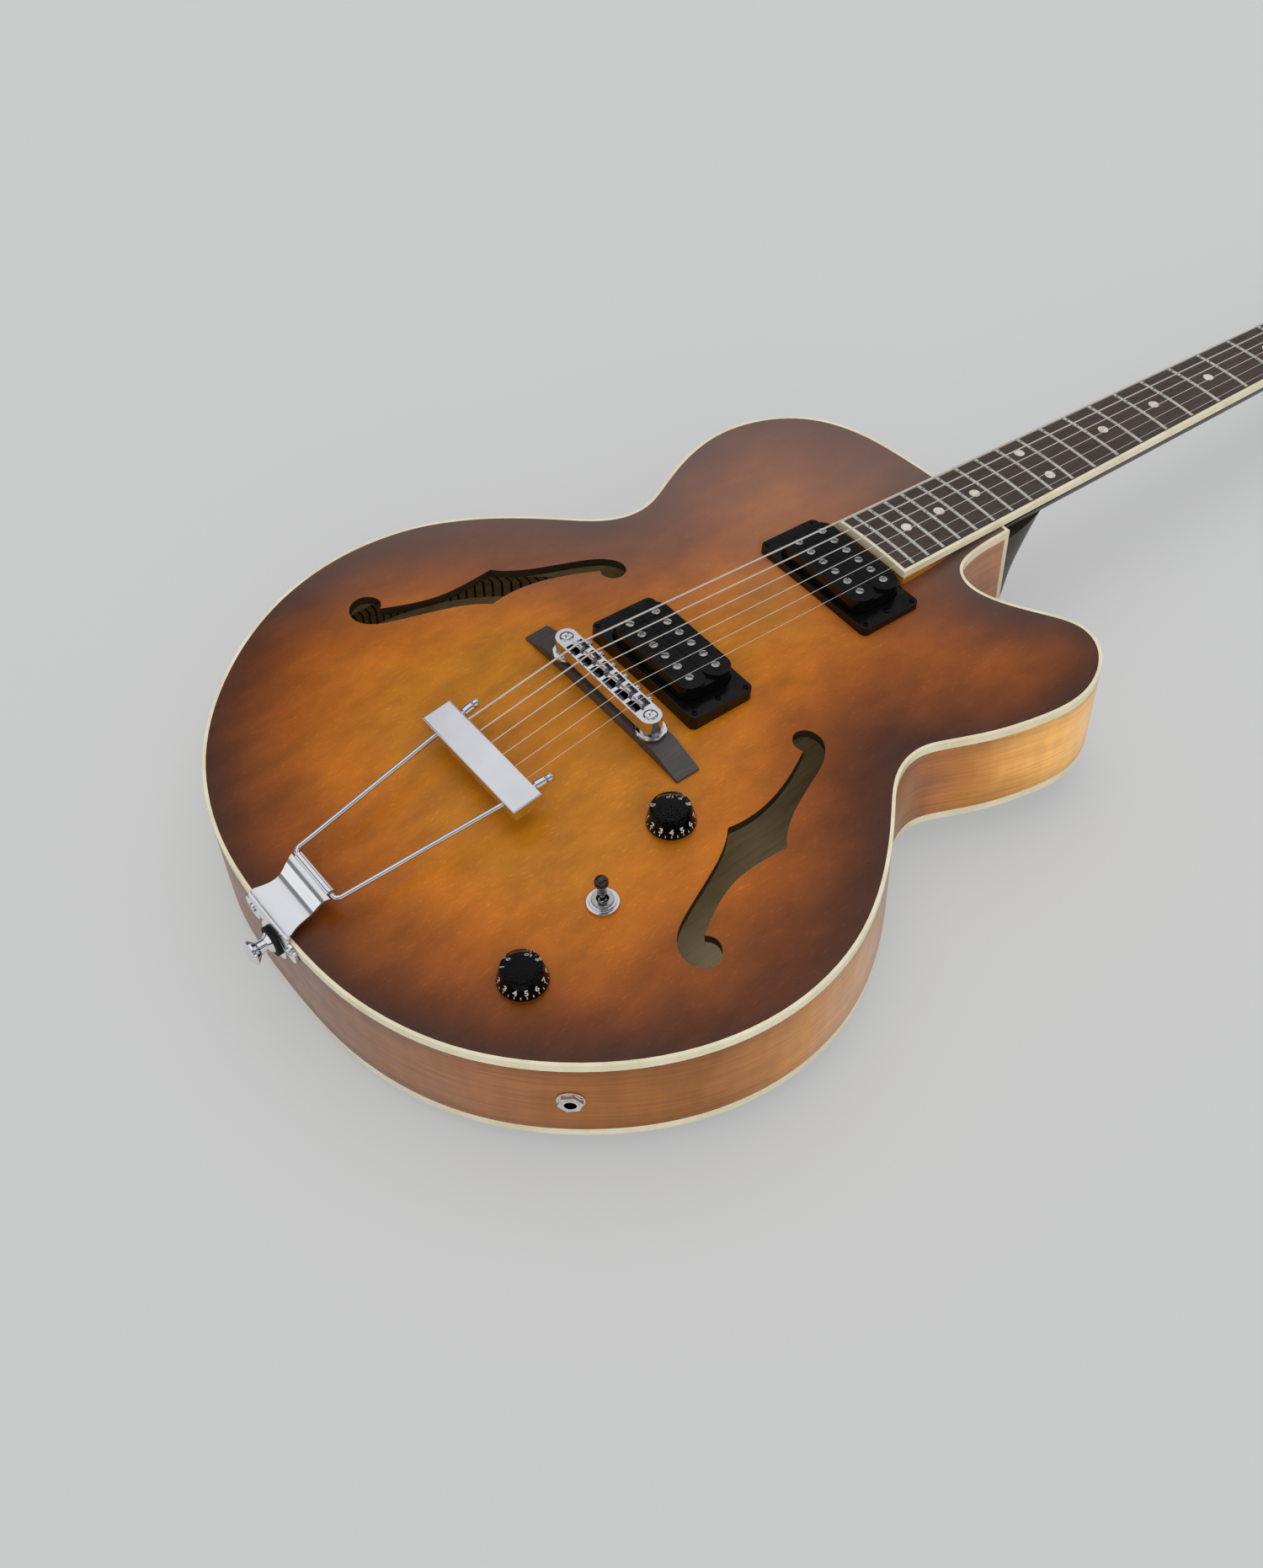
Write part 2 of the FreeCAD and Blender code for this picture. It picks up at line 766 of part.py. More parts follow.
def make_binding():
    deep, thick = mm("rib_depth"), mm("plate_thickness")
    low, high = rib_levels()
    face = plan_face(0).cut(plan_face(mm("binding_width")))
    rings = [slab(face, -thick, 0), slab(face, -deep, thick - deep)]
    rib = slab(half_ring(1, 0, mm("rib_thickness")), low, high)
    rings.append(rib.common(heel_strip_box()))
    keep("body_binding", feature("body_binding", Part.makeCompound(rings)))


def block(width, near_y, far_y):
    low, high = rib_levels()
    return Part.makeBox(width, far_y - near_y, high - low, V(-width / 2, near_y, low))


def inner_room():
    """The room between the ribs, a glue line away from them."""
    return slab(plan_face(mm("rib_thickness") + mm("glue_gap")), -mm("rib_depth"), 0)


def neck_block():
    far = neck_edge - mm("rib_thickness")
    width = NECK_BLOCK_SHARE * mm("body_width")
    return block(width, far - BLOCK_LENGTH_SHARE * block_room(), far).common(inner_room())


def tail_block():
    near = mm("rib_thickness") - tail_length
    return block(mm("tail_block_width"), near, near + mm("tail_block_length")).common(inner_room())


def make_blocks():
    solids = [neck_block().cut(tenon_box()), tail_block()]
    keep("end_blocks", feature("end_blocks", Part.makeCompound(solids)))


def make_linings():
    inner = mm("rib_thickness")
    foot, top = rib_levels()
    clear = mm("jack_case_diameter") / 2
    jack_room = in_frame(Part.makeCylinder(clear, 2 * mm("overrun"), V(0, 0, -mm("overrun"))), JACK_FRAME)
    strips = []
    for side in (-1, 1):
        face = half_ring(side, inner, inner + mm("lining_width"))
        for low, high in ((top - mm("lining_height"), top), (foot, foot + mm("lining_height"))):
            strips.append(slab(face, low, high).cut([neck_block(), tail_block(), jack_room]))
    keep("linings", feature("linings", Part.makeCompound(strips)))


def make_tone_bars():
    under = TOP_FACE.copy()
    under.translate(V(0, 0, -mm("plate_thickness")))
    layer = under.extrude(V(0, 0, -mm("tone_bar_height")))
    bars = []
    for side in (-1, 1):
        plank = centred_box(mm("tone_bar_width"), mm("tone_bar_length"), -mm("overrun"), mm("overrun"))
        plank.translate(V(side * mm("tone_bar_spacing") / 2, 0, 0))
        bars.append(plank.common(layer))
    keep("tone_bars", feature("tone_bars", Part.makeCompound(bars)))


# Fretboard
def board_width(along):
    """Width of the fretboard at a distance from the bridge line, along the neck."""
    share = (nut_line - along) / (nut_line - board_end())
    return mm("board_nut_width") + (mm("board_end_width") - mm("board_nut_width")) * share


def crown_cylinder(extra):
    """The round of the fretboard's top, along the neck."""
    place = neck_frame.multiply(Place(V(0, 0, -mm("board_radius")), Turn(V(1, 0, 0), -SQUARE_TURN)))
    return cylinder(f"{cell('board_radius')} + {extra}", f"{cell('scale_length')} + {cell('overrun')}", place)


def board_corners(edge):
    """Plan corners of the fretboard, inside an edge strip."""
    nut = f"({cell('scale_length')} + {cell('saddle_line')})"
    last_fret = f"{cell('saddle_line')} + {cell('scale_length')} * {2 ** (-FRET_COUNT / 12)}"
    end = f"({last_fret} - {cell('board_overhang')} + {edge})"
    wide_nut = f"({cell('board_nut_width')} / 2 - {edge})"
    wide_end = f"({cell('board_end_width')} / 2 - {edge})"
    return [(f"-{wide_nut}", nut), (f"-{wide_end}", end), (wide_end, end), (wide_nut, nut)]


def board_body(label, edge):
    body = new_body(label)
    pad(body, sketch_polygon(body, "XY_Plane", board_corners(edge)), f"2 * {cell('board_thickness')}")
    body.Placement = neck_frame.multiply(Place(V(0, 0, -mm("board_thickness")), Turn()))
    return body


def dot_places():
    """Middles of the position marks, between each fret and the one before it."""
    places = []
    for number in DOT_FRETS + (DOT_PAIR_FRET,):
        along = (fret_place(number) + fret_place(number - 1)) / 2
        offsets = (-mm("dot_pair_spacing") / 2, mm("dot_pair_spacing") / 2) if number == DOT_PAIR_FRET else (0,)
        places += [V(x, along, -mm("dot_depth") - x * x / (2 * mm("board_radius"))) for x in offsets]
    return places


def make_fretboard():
    edge = cell("board_binding_width")
    dots = [cylinder(f"{cell('dot_diameter')} / 2", f"2 * {cell('dot_depth')}", neck_frame.multiply(Place(p, Turn())))
            for p in dot_places()]
    marks = group("dot_pegs", dots)
    keep("position_dots", common("position_dots", marks, crown_cylinder("0")))
    core = common("board_core", board_body("board_plan", edge), crown_cylinder("0"))
    keep("fretboard", cut("fretboard", core, group("dot_pockets", dots)))
    rim = cut("board_rim", board_body("board_outer", "0"), board_body("board_inner", edge))
    keep("fretboard_binding", common("fretboard_binding", rim, crown_cylinder("0")))


def make_frets():
    """Frets, each a crowned profile turned about the axis of the fretboard's round."""
    radius = mm("board_radius")
    half, tall = mm("fret_width") / 2, mm("fret_height")
    solids = []
    for number in range(1, FRET_COUNT + 1):
        along = fret_place(number)
        wide = board_width(along) / 2 - mm("board_binding_width") - mm("fret_inset")
        angle = math.degrees(math.asin(wide / radius))
        arc = Part.Arc(V(0, along - half, 0), V(0, along, tall), V(0, along + half, 0)).toShape()
        base = Part.makeLine(V(0, along + half, 0), V(0, along - half, 0))
        profile = Part.Face(Part.Wire([arc, base]))
        profile.rotate(V(0, 0, -radius), V(0, 1, 0), -angle)
        solids.append(profile.revolve(V(0, 0, -radius), V(0, 1, 0), 2 * angle))
    keep("frets", feature("frets", in_frame(Part.makeCompound(solids), neck_frame)))


# Strings
def string_radius(number):
    return mm(f"string_{number}_diameter") / 2


def string_x(number, spread):
    """Strings count from the treble side."""
    return mm(spread) * (0.5 - (number - 1) / (STRING_COUNT - 1))


def crown_drop(x):
    return x * x / (2 * mm("board_radius"))


def string_nut_point(number):
    x = string_x(number, "string_nut_spread")
    return neck_frame.multVec(V(x, nut_line, mm("string_nut_height") - crown_drop(x)))


def string_saddle_point(number):
    x = string_x(number, "string_bridge_spread")
    return neck_frame.multVec(V(x, 0, mm("string_bridge_height") - crown_drop(x)))


def tuner_place(number):
    """Post of one string on the head: the outer strings go to the nearest posts."""
    side = 1 if number <= STRING_COUNT / 2 else -1
    rank = number if side > 0 else STRING_COUNT + 1 - number
    steps = STRING_COUNT / 2 - rank
    return V(side * mm("tuner_offset"), mm("tuner_first") + (STRING_COUNT / 2 - 1 - steps) * mm("tuner_spacing"), 0)


def string_post_point(number):
    """Where a string passes the inner side of its post."""
    post = tuner_place(number)
    inwards = -1 if post.x > 0 else 1
    beside = inwards * (mm("post_diameter") / 2 + mm("slide_clearance") + string_radius(number))
    return head_frame.multVec(V(post.x + beside, post.y, mm("post_hole_height")))


def make_strings():
    wires = []
    for number in range(1, STRING_COUNT + 1):
        radius = string_radius(number)
        end = string_post_point(number)
        saddle = string_saddle_point(number) + V(0, 0, radius)
        nut = string_nut_point(number) + V(0, 0, radius)
        anchor = trapeze_frame.multVec(
            V(saddle.x, mm("bar_from_hinge") + mm("bar_width") - mm("bar_wall") - mm("string_anchor"), 0))
        wire = polyline_tube([anchor, saddle, nut, end], mm("string_bend"), radius)
        ball = Part.makeSphere(mm("string_ball_diameter") / 2, anchor)
        wires.append(wire.fuse(ball))
    keep("strings", feature("strings", Part.makeCompound(wires)))


def slot_turn(way):
    """The turn that lays Y along a string, with Z as far up as it goes."""
    across = way.cross(V(0, 0, 1)).normalize()
    return Turn(across, way, across.cross(way), "YXZ")


def make_nut():
    body = new_body("nut_blank")
    half = f"{cell('board_nut_width')} / 2"
    near = f"({cell('scale_length')} + {cell('saddle_line')})"
    far = f"({near} + {cell('nut_thickness')})"
    pad(body, sketch_polygon(body, "XY_Plane", [(f"-{half}", near), (half, near), (half, far), (f"-{half}", far)]),
        f"2 * {cell('board_thickness')}")
    body.Placement = neck_frame.multiply(Place(V(0, 0, -mm("board_thickness")), Turn()))
    blank = common("nut_crowned", body, crown_cylinder(cell("nut_rise")))
    slots = []
    for number in range(1, STRING_COUNT + 1):
        wide = 2 * (string_radius(number) + mm("nut_slot_clearance"))
        corner = string_nut_point(number)
        for target in (string_saddle_point(number), string_post_point(number)):
            slot = Part.makeBox(wide, 2 * mm("nut_thickness"), mm("overrun") / 2,
                                V(-wide / 2, -mm("nut_slot_clearance"), -mm("nut_slot_clearance")))
            slots.append(in_frame(slot, Place(corner, slot_turn(target - corner))))
    keep("nut", cut("nut", blank, feature("nut_slots", Part.makeCompound(slots))))


# Neck and head
def neck_section(along, depth):
    """The round back of the neck under the fretboard."""
    wide = board_width(along) / 2
    middle = V(0, along, -mm("board_thickness"))
    oval = Part.Ellipse(middle + V(wide, 0, 0), middle + V(0, 0, -depth), middle)
    arc = Part.ArcOfEllipse(oval, 0, math.pi).toShape()
    return Part.Wire([arc, Part.makeLine(middle - V(wide, 0, 0), middle + V(wide, 0, 0))])


def heel_section(share):
    """A level cut of the heel: a half oval that stands on the edge of the body."""
    down, narrow, short = share
    top = -mm("neck_depth_heel") + mm("board_thickness") / 2
    foot = mm("heel_cap_thickness") - mm("rib_depth")
    level = top + (foot - top) * down
    wide = (mm("heel_width") + (mm("heel_foot_width") - mm("heel_width")) * narrow) / 2
    reach = mm("heel_reach") + (mm("heel_foot_reach") - mm("heel_reach")) * short
    middle = V(0, neck_edge, level)
    return half_oval(middle, wide, reach)


def half_oval(middle, wide, reach):
    if wide >= reach:
        oval = Part.Ellipse(middle + V(wide, 0, 0), middle + V(0, reach, 0), middle)
        arc = Part.ArcOfEllipse(oval, 0, math.pi)
    else:
        oval = Part.Ellipse(middle + V(0, reach, 0), middle - V(wide, 0, 0), middle)
        arc = Part.ArcOfEllipse(oval, -math.pi / 2, math.pi / 2)
    return Part.Wire([arc.toShape(), Part.makeLine(middle - V(wide, 0, 0), middle + V(wide, 0, 0))])


def head_edge(y):
    """Half the head's width at a distance from the nut."""
    places = [(0, mm("board_nut_width") / 2)]
    places += [(v * mm("head_length"), u * mm("head_width") / 2) for u, v in HEAD_OUTLINE_SHARES]
    for (low_y, low_x), (high_y, high_x) in zip(places, places[1:]):
        if low_y <= y <= high_y:
            return low_x + (high_x - low_x) * (y - low_y) / (high_y - low_y)
    return mm("head_width") / 2


def head_face(start):
    """The plan of the head, from a line near the nut to its rounded tip."""
    half_nut, half_head, length = mm("board_nut_width") / 2, mm("head_width") / 2, mm("head_length")
    edges = []
    for side in (-1, 1):
        places = [V(side * half_nut, 0, 0)]
        places += [V(side * x * half_head, y * length, 0) for x, y in HEAD_OUTLINE_SHARES]
        edges.append(spline_through(places, [V(0, 1, 0)] + [None] * (len(places) - 1)).toShape())
        if start < 0:
            edges.append(Part.makeLine(V(side * half_nut, start, 0), V(side * half_nut, 0, 0)))
    shoulder = HEAD_OUTLINE_SHARES[-1][1] * length
    edges.append(Part.Arc(V(-half_head, shoulder, 0), V(0, length, 0), V(half_head, shoulder, 0)).toShape())
    edges.append(Part.makeLine(V(-half_nut, start, 0), V(half_nut, start, 0)))
    return Part.Face(Part.Wire(Part.__sortEdges__(edges)))


def tuner_holes():
    """Cutters for the bushings, right through the head."""
    radius = mm("bushing_diameter") / 2
    tools = []
    for number in range(1, STRING_COUNT + 1):
        place = tuner_place(number) - V(0, 0, mm("overrun"))
        tools.append(in_frame(Part.makeCylinder(radius, 2 * mm("overrun"), place), head_frame))
    return tools


def truss_channel(clear):
    """The bar of the truss rod under the fretboard, or its channel."""
    wide, tall = mm("truss_rod_width") + 2 * clear, mm("truss_rod_height") + clear
    top = -mm("board_thickness")
    near, far = neck_edge + mm("truss_rod_gap"), nut_line - mm("nut_thickness")
    return in_frame(Part.makeBox(wide, far - near, tall, V(-wide / 2, near, top - tall)), neck_frame)


def make_neck():
    stations = [(nut_line + mm("nut_thickness"), mm("neck_depth_nut")),
                ((nut_line + neck_edge) / 2, (mm("neck_depth_nut") + mm("neck_depth_heel")) / 2),
                (neck_edge - mm("heel_cap_thickness"), mm("neck_depth_heel"))]
    shaft = in_frame(Part.makeLoft([neck_section(*station) for station in stations], True), neck_frame)
    heel = Part.makeLoft([heel_section(share) for share in HEEL_SHARES], True)
    start = -mm("head_thickness")
    head = in_frame(slab(head_face(start), -mm("head_thickness"), -mm("veneer_thickness")), head_frame)
    over_head = in_frame(Part.makeBox(
        2 * mm("head_width"), mm("head_width"), mm("overrun"),
        V(-mm("head_width"), nut_line + mm("nut_thickness") - mm("head_width"), -mm("board_thickness"))), neck_frame)
    head = head.cut(over_head)
    near = board_end() + mm("tongue_inset")
    wide = board_width(near) - 2 * mm("tongue_inset")
    tongue = in_frame(Part.makeBox(wide, neck_edge - near, mm("overrun") / 2,
                                   V(-wide / 2, near, -mm("overrun") / 2 - mm("board_thickness"))), neck_frame)
    room = Part.makeBox(mm("body_width"), neck_edge, 2 * mm("overrun"), V(-mm("body_width") / 2, 0, -mm("overrun")))
    body = UNDER_TOP.common(room)
    raw = shaft.fuse(tongue).cut(body).fuse([heel, head, tenon_box()])
    neck = raw.cut(tuner_holes() + [truss_channel(mm("hole_clearance"))]).removeSplitter()
    keep("neck", feature("neck", neck))
    cap = Part.Face(heel_section(HEEL_SHARES[-1])).extrude(V(0, 0, -mm("heel_cap_thickness")))
    keep("heel_cap", feature("heel_cap", cap))
    keep("truss_rod", feature("truss_rod", truss_channel(0)))


def make_head_face():
    face = in_frame(slab(head_face(0), -mm("veneer_thickness"), 0), head_frame)
    keep("head_veneer", feature("head_veneer", face.cut(tuner_holes() + [parts["neck"].Shape])))
    body = new_body("truss_rod_cover")
    right = [(f"{cell('truss_cover_width')} / 2 * {x}",
              f"{cell('truss_cover_gap')} + {cell('truss_cover_length')} * {y}") for x, y in TRUSS_COVER_SHARES]
    left = [(f"-{x}", y) for x, y in reversed(right)]
    pad(body, sketch_polygon(body, "XY_Plane", right + left), cell("truss_cover_thickness"))
    body.Placement = head_frame
    keep("truss_rod_cover", body)


# Tuners
def key_axis_drop():
    return mm("head_thickness") + mm("tuner_case_height") / 2


def stadium(length, width, low, high):
    """A flat bar with round ends, along Y."""
    straight = (length - width) / 2
    ends = [Part.makeCylinder(width / 2, high - low, V(0, y, low)) for y in (-straight, straight)]
    middle = Part.makeBox(width, 2 * straight, high - low, V(-width / 2, -straight, low))
    return middle.fuse(ends).removeSplitter()


def make_tuners():
    cases, bushings = [], []
    for number in range(1, STRING_COUNT + 1):
        place = tuner_place(number)
        side = 1 if place.x > 0 else -1
        here = head_frame.multiply(Place(place, Turn()))
        deep = mm("head_thickness") + mm("post_bed")
        post = cylinder(f"{cell('post_diameter')} / 2",
                        f"{cell('head_thickness')} + {cell('post_bed')} + {cell('post_height')}",
                        here.multiply(Place(V(0, 0, -deep), Turn())))
        eye = cylinder(f"{cell('post_hole_diameter')} / 2", f"2 * {cell('post_diameter')}",
                       here.multiply(facing(V(0, -mm("post_diameter"), mm("post_hole_height")), V(0, 1, 0))))
        keep(f"tuner_post_{number}", cut(f"tuner_post_{number}", post, eye))
        bore = f"{cell('post_diameter')} / 2 + {cell('running_clearance')}"
        sleeve = cylinder(f"{cell('bushing_diameter')} / 2", cell("bushing_depth"),
                          here.multiply(Place(V(0, 0, -mm("bushing_depth")), Turn())))
        flange = cylinder(f"{cell('bushing_flange_diameter')} / 2", cell("bushing_flange_thickness"), here)
        through = cylinder(bore, cell("overrun"), here.multiply(Place(V(0, 0, -mm("overrun") / 2), Turn())))
        bushings.append(cut("bushing", fuse("bushing_blank", [sleeve, flange]), through))
        low = -mm("head_thickness") - mm("tuner_case_height")
        case = box(cell("tuner_case_width"), cell("tuner_case_length"), cell("tuner_case_height"),
                   here.multiply(Place(V(0, 0, low), Turn())))
        bed = cylinder(bore, cell("post_bed"), here.multiply(Place(V(0, 0, -deep), Turn())))
        axis = here.multiply(facing(V(0, 0, -key_axis_drop()), V(side, 0, 0)))
        inside = mm("post_diameter") / 2 + mm("slide_clearance")
        shaft_bore = cylinder(f"{cell('key_shaft_diameter')} / 2 + {cell('running_clearance')}",
                              cell("tuner_case_width"), axis.multiply(Place(V(0, 0, inside), Turn())))
        cases.append(cut("tuner_case", case, fuse("case_bores", [bed, shaft_bore])))
        button_start = head_edge(place.y) - mm("tuner_offset") + mm("key_gap")
        shaft = Part.makeCylinder(mm("key_shaft_diameter") / 2, button_start - inside, V(0, 0, inside))
        half = mm("key_thickness") / 2
        button = stadium(mm("key_height"), mm("key_length"), -half, half)
        button.rotate(V(0, 0, 0), V(0, 1, 0), SQUARE_TURN)
        button.translate(V(0, 0, button_start + mm("key_length") / 2))
        key = shaft.fuse(button).removeSplitter()
        keep(f"tuner_key_{number}", feature(f"tuner_key_{number}", in_frame(key, axis)))
    keep("tuner_housings", group("tuner_housings", cases))
    keep("tuner_bushings", group("tuner_bushings", bushings))


# Bridge
def wheel_low():
    return mm("base_top") + mm("wheel_lift")


def bridge_low():
    return wheel_low() + mm("wheel_thickness")


def make_bridge_base():
    half, flat = f"{cell('base_length')} / 2", f"{cell('base_flat_length')} / 2"
    top, end = cell("base_top"), cell("base_end_top")
    body = new_body("base_blank")
    corners = [(f"-{half}", "0"), (half, "0"), (half, end), (flat, top), (f"-{flat}", top), (f"-{half}", end)]
    pad(body, sketch_polygon(body, "XZ_Plane", corners), cell("base_width"), symmetric=True)
    fitted = cut("base_fitted", body, feature("top_bed", UNDER_TOP))
    posts = []
    for side in (-1, 1):
        place = Place(V(side * mm("bridge_post_spacing") / 2, 0, mm("base_top") - mm("bridge_post_bed")), Turn())
        posts.append(cylinder(f"{cell('bridge_post_diameter')} / 2",
                              f"{cell('bridge_post_bed')} + {cell('wheel_lift')} + {cell('wheel_thickness')}"
                              f" + {cell('bridge_height')}", place))
    keep("bridge_base", cut("bridge_base", fitted, group("post_beds", posts)))
    keep("bridge_posts", group("bridge_posts", posts))


def make_thumbwheels():
    for label, side in (("thumbwheel_bass", -1), ("thumbwheel_treble", 1)):
        middle = V(side * mm("bridge_post_spacing") / 2, 0, wheel_low())
        disc = cylinder(f"{cell('wheel_diameter')} / 2", cell("wheel_thickness"), Place(middle, Turn()))
        tools = [cylinder(f"{cell('bridge_post_diameter')} / 2 + {cell('running_clearance')}", cell("overrun"),
                          Place(middle - V(0, 0, mm("overrun") / 2), Turn()))]
        for step in range(WHEEL_NOTCHES):
            rim = Turn(V(0, 0, 1), FULL_TURN * step / WHEEL_NOTCHES).multVec(V(mm("wheel_diameter") / 2, 0, 0))
            tools.append(cylinder(f"{cell('wheel_notch_diameter')} / 2", cell("wheel_thickness"),
                                  Place(middle + rim, Turn())))
        keep(label, cut(label, disc, group("wheel_cuts", tools)))


def saddle_room():
    """Length of a saddle's slot along the strings."""
    return mm("bridge_width") - 2 * mm("bridge_wall")


def make_bridge_body():
    low = bridge_low()
    spacing = mm("bridge_post_spacing")
    blank = stadium(spacing + mm("bridge_width"), mm("bridge_width"), low, low + mm("bridge_height"))
    blank.rotate(V(0, 0, 0), V(0, 0, 1), SQUARE_TURN)
    bore = mm("bridge_post_diameter") / 2 + mm("slide_clearance")
    tools = [Part.makeCylinder(bore, mm("overrun"), V(side * spacing / 2, 0, low - mm("bridge_height")))
             for side in (-1, 1)]
    wide = mm("saddle_width") + 2 * mm("saddle_clearance")
    for number in range(1, STRING_COUNT + 1):
        x = string_x(number, "string_bridge_spread")
        tools.append(Part.makeBox(wide, saddle_room(), mm("overrun"),
                                  V(x - wide / 2, -saddle_room() / 2, low + mm("bridge_floor"))))
    keep("bridge_body", feature("bridge_body", blank.cut(tools)))


def make_saddles():
    """Saddles: ridged blocks, each with a notch under its string."""
    floor = bridge_low() + mm("bridge_floor") + mm("saddle_clearance")
    half, ridge = mm("saddle_length") / 2, mm("saddle_ridge") / 2
    shoulder = floor + mm("saddle_shoulder")
    for number in range(1, STRING_COUNT + 1):
        seat = string_saddle_point(number)
        peak = seat.z - mm("string_seat_gap") + mm("saddle_notch_depth")
        x = seat.x - mm("saddle_width") / 2
        profile = [(-half, floor), (half, floor), (half, shoulder), (ridge, peak), (-ridge, peak), (-half, shoulder)]
        wire = Part.makePolygon([V(x, seat.y + a, b) for a, b in profile + profile[:1]])
        blank = Part.Face(wire).extrude(V(mm("saddle_width"), 0, 0))
        wide = 2 * (string_radius(number) + mm("string_seat_gap"))
        notch = Part.makeBox(wide, 2 * mm("saddle_length"), mm("overrun"),
                             V(seat.x - wide / 2, seat.y - mm("saddle_length"), seat.z - mm("string_seat_gap")))
        keep(f"saddle_{number}", feature(f"saddle_{number}", blank.cut(notch)))


# Tailpiece
def make_bracket():
    """Bent plate from the rib over the edge of the body to the barrel of the hinge."""
    thick, half = mm("bracket_thickness"), mm("hinge_half_width")
    rise = mm("hinge_height") - mm("bracket_lift")
    rear = -tail_length - thick
    centre_line = [V(0, rear + thick / 2 + y * (hinge_y - rear), mm("bracket_lift") + thick / 2 + z * rise)
                   for y, z in BRACKET_SHARES]
    curve = spline_through(centre_line)
    steps = BEND_STEPS * (len(centre_line) - 1)
    sides = {1: [], -1: []}
    for step in range(steps + 1):
        where = curve.FirstParameter + (curve.LastParameter - curve.FirstParameter) * step / steps
        along = curve.tangent(where)[0]
        for way in sides:
            sides[way].append(curve.value(where) + V(0, -along.z, along.y) * (way * thick / 2))
    upper, lower = spline_through(sides[1]).toShape(), spline_through(sides[-1]).toShape()
    ends = [Part.makeLine(sides[1][i], sides[-1][i]) for i in (0, -1)]
    cover = Part.Face(Part.Wire(Part.__sortEdges__([upper, lower] + ends))).extrude(V(2 * half, 0, 0))
    cover.translate(V(-half, 0, 0))
    chord, depth = mm("bracket_waist_length") / 2, mm("bracket_waist_depth")
    round_radius = (chord * chord + depth * depth) / (2 * depth)
    waist_y = rear + BRACKET_WAIST_SHARE * (hinge_y - rear)
    waist = [Part.makeCylinder(round_radius, mm("overrun"), V(side * (half + round_radius - depth), waist_y, 0))
             for side in (-1, 1)]
    cover = cover.cut(waist)
    top, ear_low = mm("bracket_lift") + thick, -mm("bracket_ear_drop")
    plate = Part.makeBox(2 * half, thick, top - ear_low, V(-half, rear, ear_low))
    discs = [(side * mm("bracket_ear_spacing") / 2, ear_low, mm("bracket_ear_diameter")) for side in (-1, 1)]
    discs.append((0, -mm("end_button_drop"), mm("bracket_middle_diameter")))
    lobes = [Part.makeCylinder(wide / 2, thick, V(x, rear, z), V(0, 1, 0)) for x, z, wide in discs]
    plate = plate.fuse(lobes).removeSplitter()
    radius = mm("rod_diameter") / 2 + mm("running_clearance")
    long = mm("barrel_half_length")
    axis = facing(V(-long, hinge_y, mm("hinge_height")), V(1, 0, 0))
    barrel = in_frame(Part.makeCylinder(radius + mm("barrel_wall"), 2 * long), axis)
    bore = in_frame(Part.makeCylinder(radius, 2 * long), axis)
    keep("tailpiece_bracket", feature("tailpiece_bracket", cover.fuse([plate, barrel]).cut(bore).removeSplitter()))


def rod_points():
    """The bent rod in the frame of the trapeze: arm, hinge pin and arm."""
    near = mm("hinge_half_width") + mm("rod_side_gap")
    far = mm("rod_spread") / 2
    return [V(-far, mm("rod_length"), 0), V(-near, 0, 0), V(near, 0, 0), V(far, mm("rod_length"), 0)]


def make_trapeze():
    rod = polyline_tube(rod_points(), mm("rod_bend"), mm("rod_diameter") / 2)
    ends = []
    for tip, bend in ((rod_points()[0], rod_points()[1]), (rod_points()[-1], rod_points()[-2])):
        back = (bend - tip).normalize()
        ends.append(Part.makeSphere(mm("rod_tip_diameter") / 2, tip))
        collar = tip + back * (mm("rod_tip_diameter") / 2)
        ends.append(Part.makeCylinder(mm("rod_collar_diameter") / 2, mm("rod_collar_length"), collar, back))
    rod = rod.fuse(ends)
    keep("tailpiece_rods", feature("tailpiece_rods", in_frame(rod, trapeze_frame)))
    body = new_body("bar_blank")
    half = f"{cell('bar_length')} / 2"
    near, far = cell("bar_from_hinge"), f"({cell('bar_from_hinge')} + {cell('bar_width')})"
    plan = sketch_polygon(body, "XY_Plane", [(f"-{half}", near), (half, near), (half, far), (f"-{half}", far)])
    blank = pad(body, plan, cell("bar_height"))
    doc.recompute()
    top_edges = [f"Edge{i + 1}" for i, edge in enumerate(blank.Shape.Edges)
                 if edge.BoundBox.ZMin > mm("bar_height") / 2]
    round_edges = body.newObject("PartDesign::Fillet", "bar_round")
    round_edges.Base = (blank, top_edges)
    round_edges.setExpression("Radius", cell("bar_edge_round"))
    drop = mm("bar_top") - mm("bar_height")
    body.Placement = trapeze_frame.multiply(Place(V(0, 0, drop), Turn()))
    wall = mm("bar_wall")
    hollow = Part.makeBox(mm("bar_length") - 2 * wall, mm("bar_width") - 2 * wall, mm("bar_height") - wall,
                          V(wall - mm("bar_length") / 2, mm("bar_from_hinge") + wall, drop))
    tools = [hollow]
    front = mm("bar_from_hinge") + mm("bar_width")
    for number in range(1, STRING_COUNT + 1):
        wide = 2 * (string_radius(number) + mm("slide_clearance"))
        x = string_x(number, "string_bridge_spread")
        tall = mm("bar_top") - wall - drop
        tools.append(Part.makeBox(wide, 2 * wall, tall, V(x - wide / 2, front - 2 * wall, drop)))
    arms = polyline_tube(rod_points(), mm("rod_bend"), mm("rod_diameter") / 2)
    cutters = feature("bar_cuts", in_frame(Part.makeCompound(tools + [arms]), trapeze_frame))
    keep("tailpiece_bar", cut("tailpiece_bar", body, cutters))


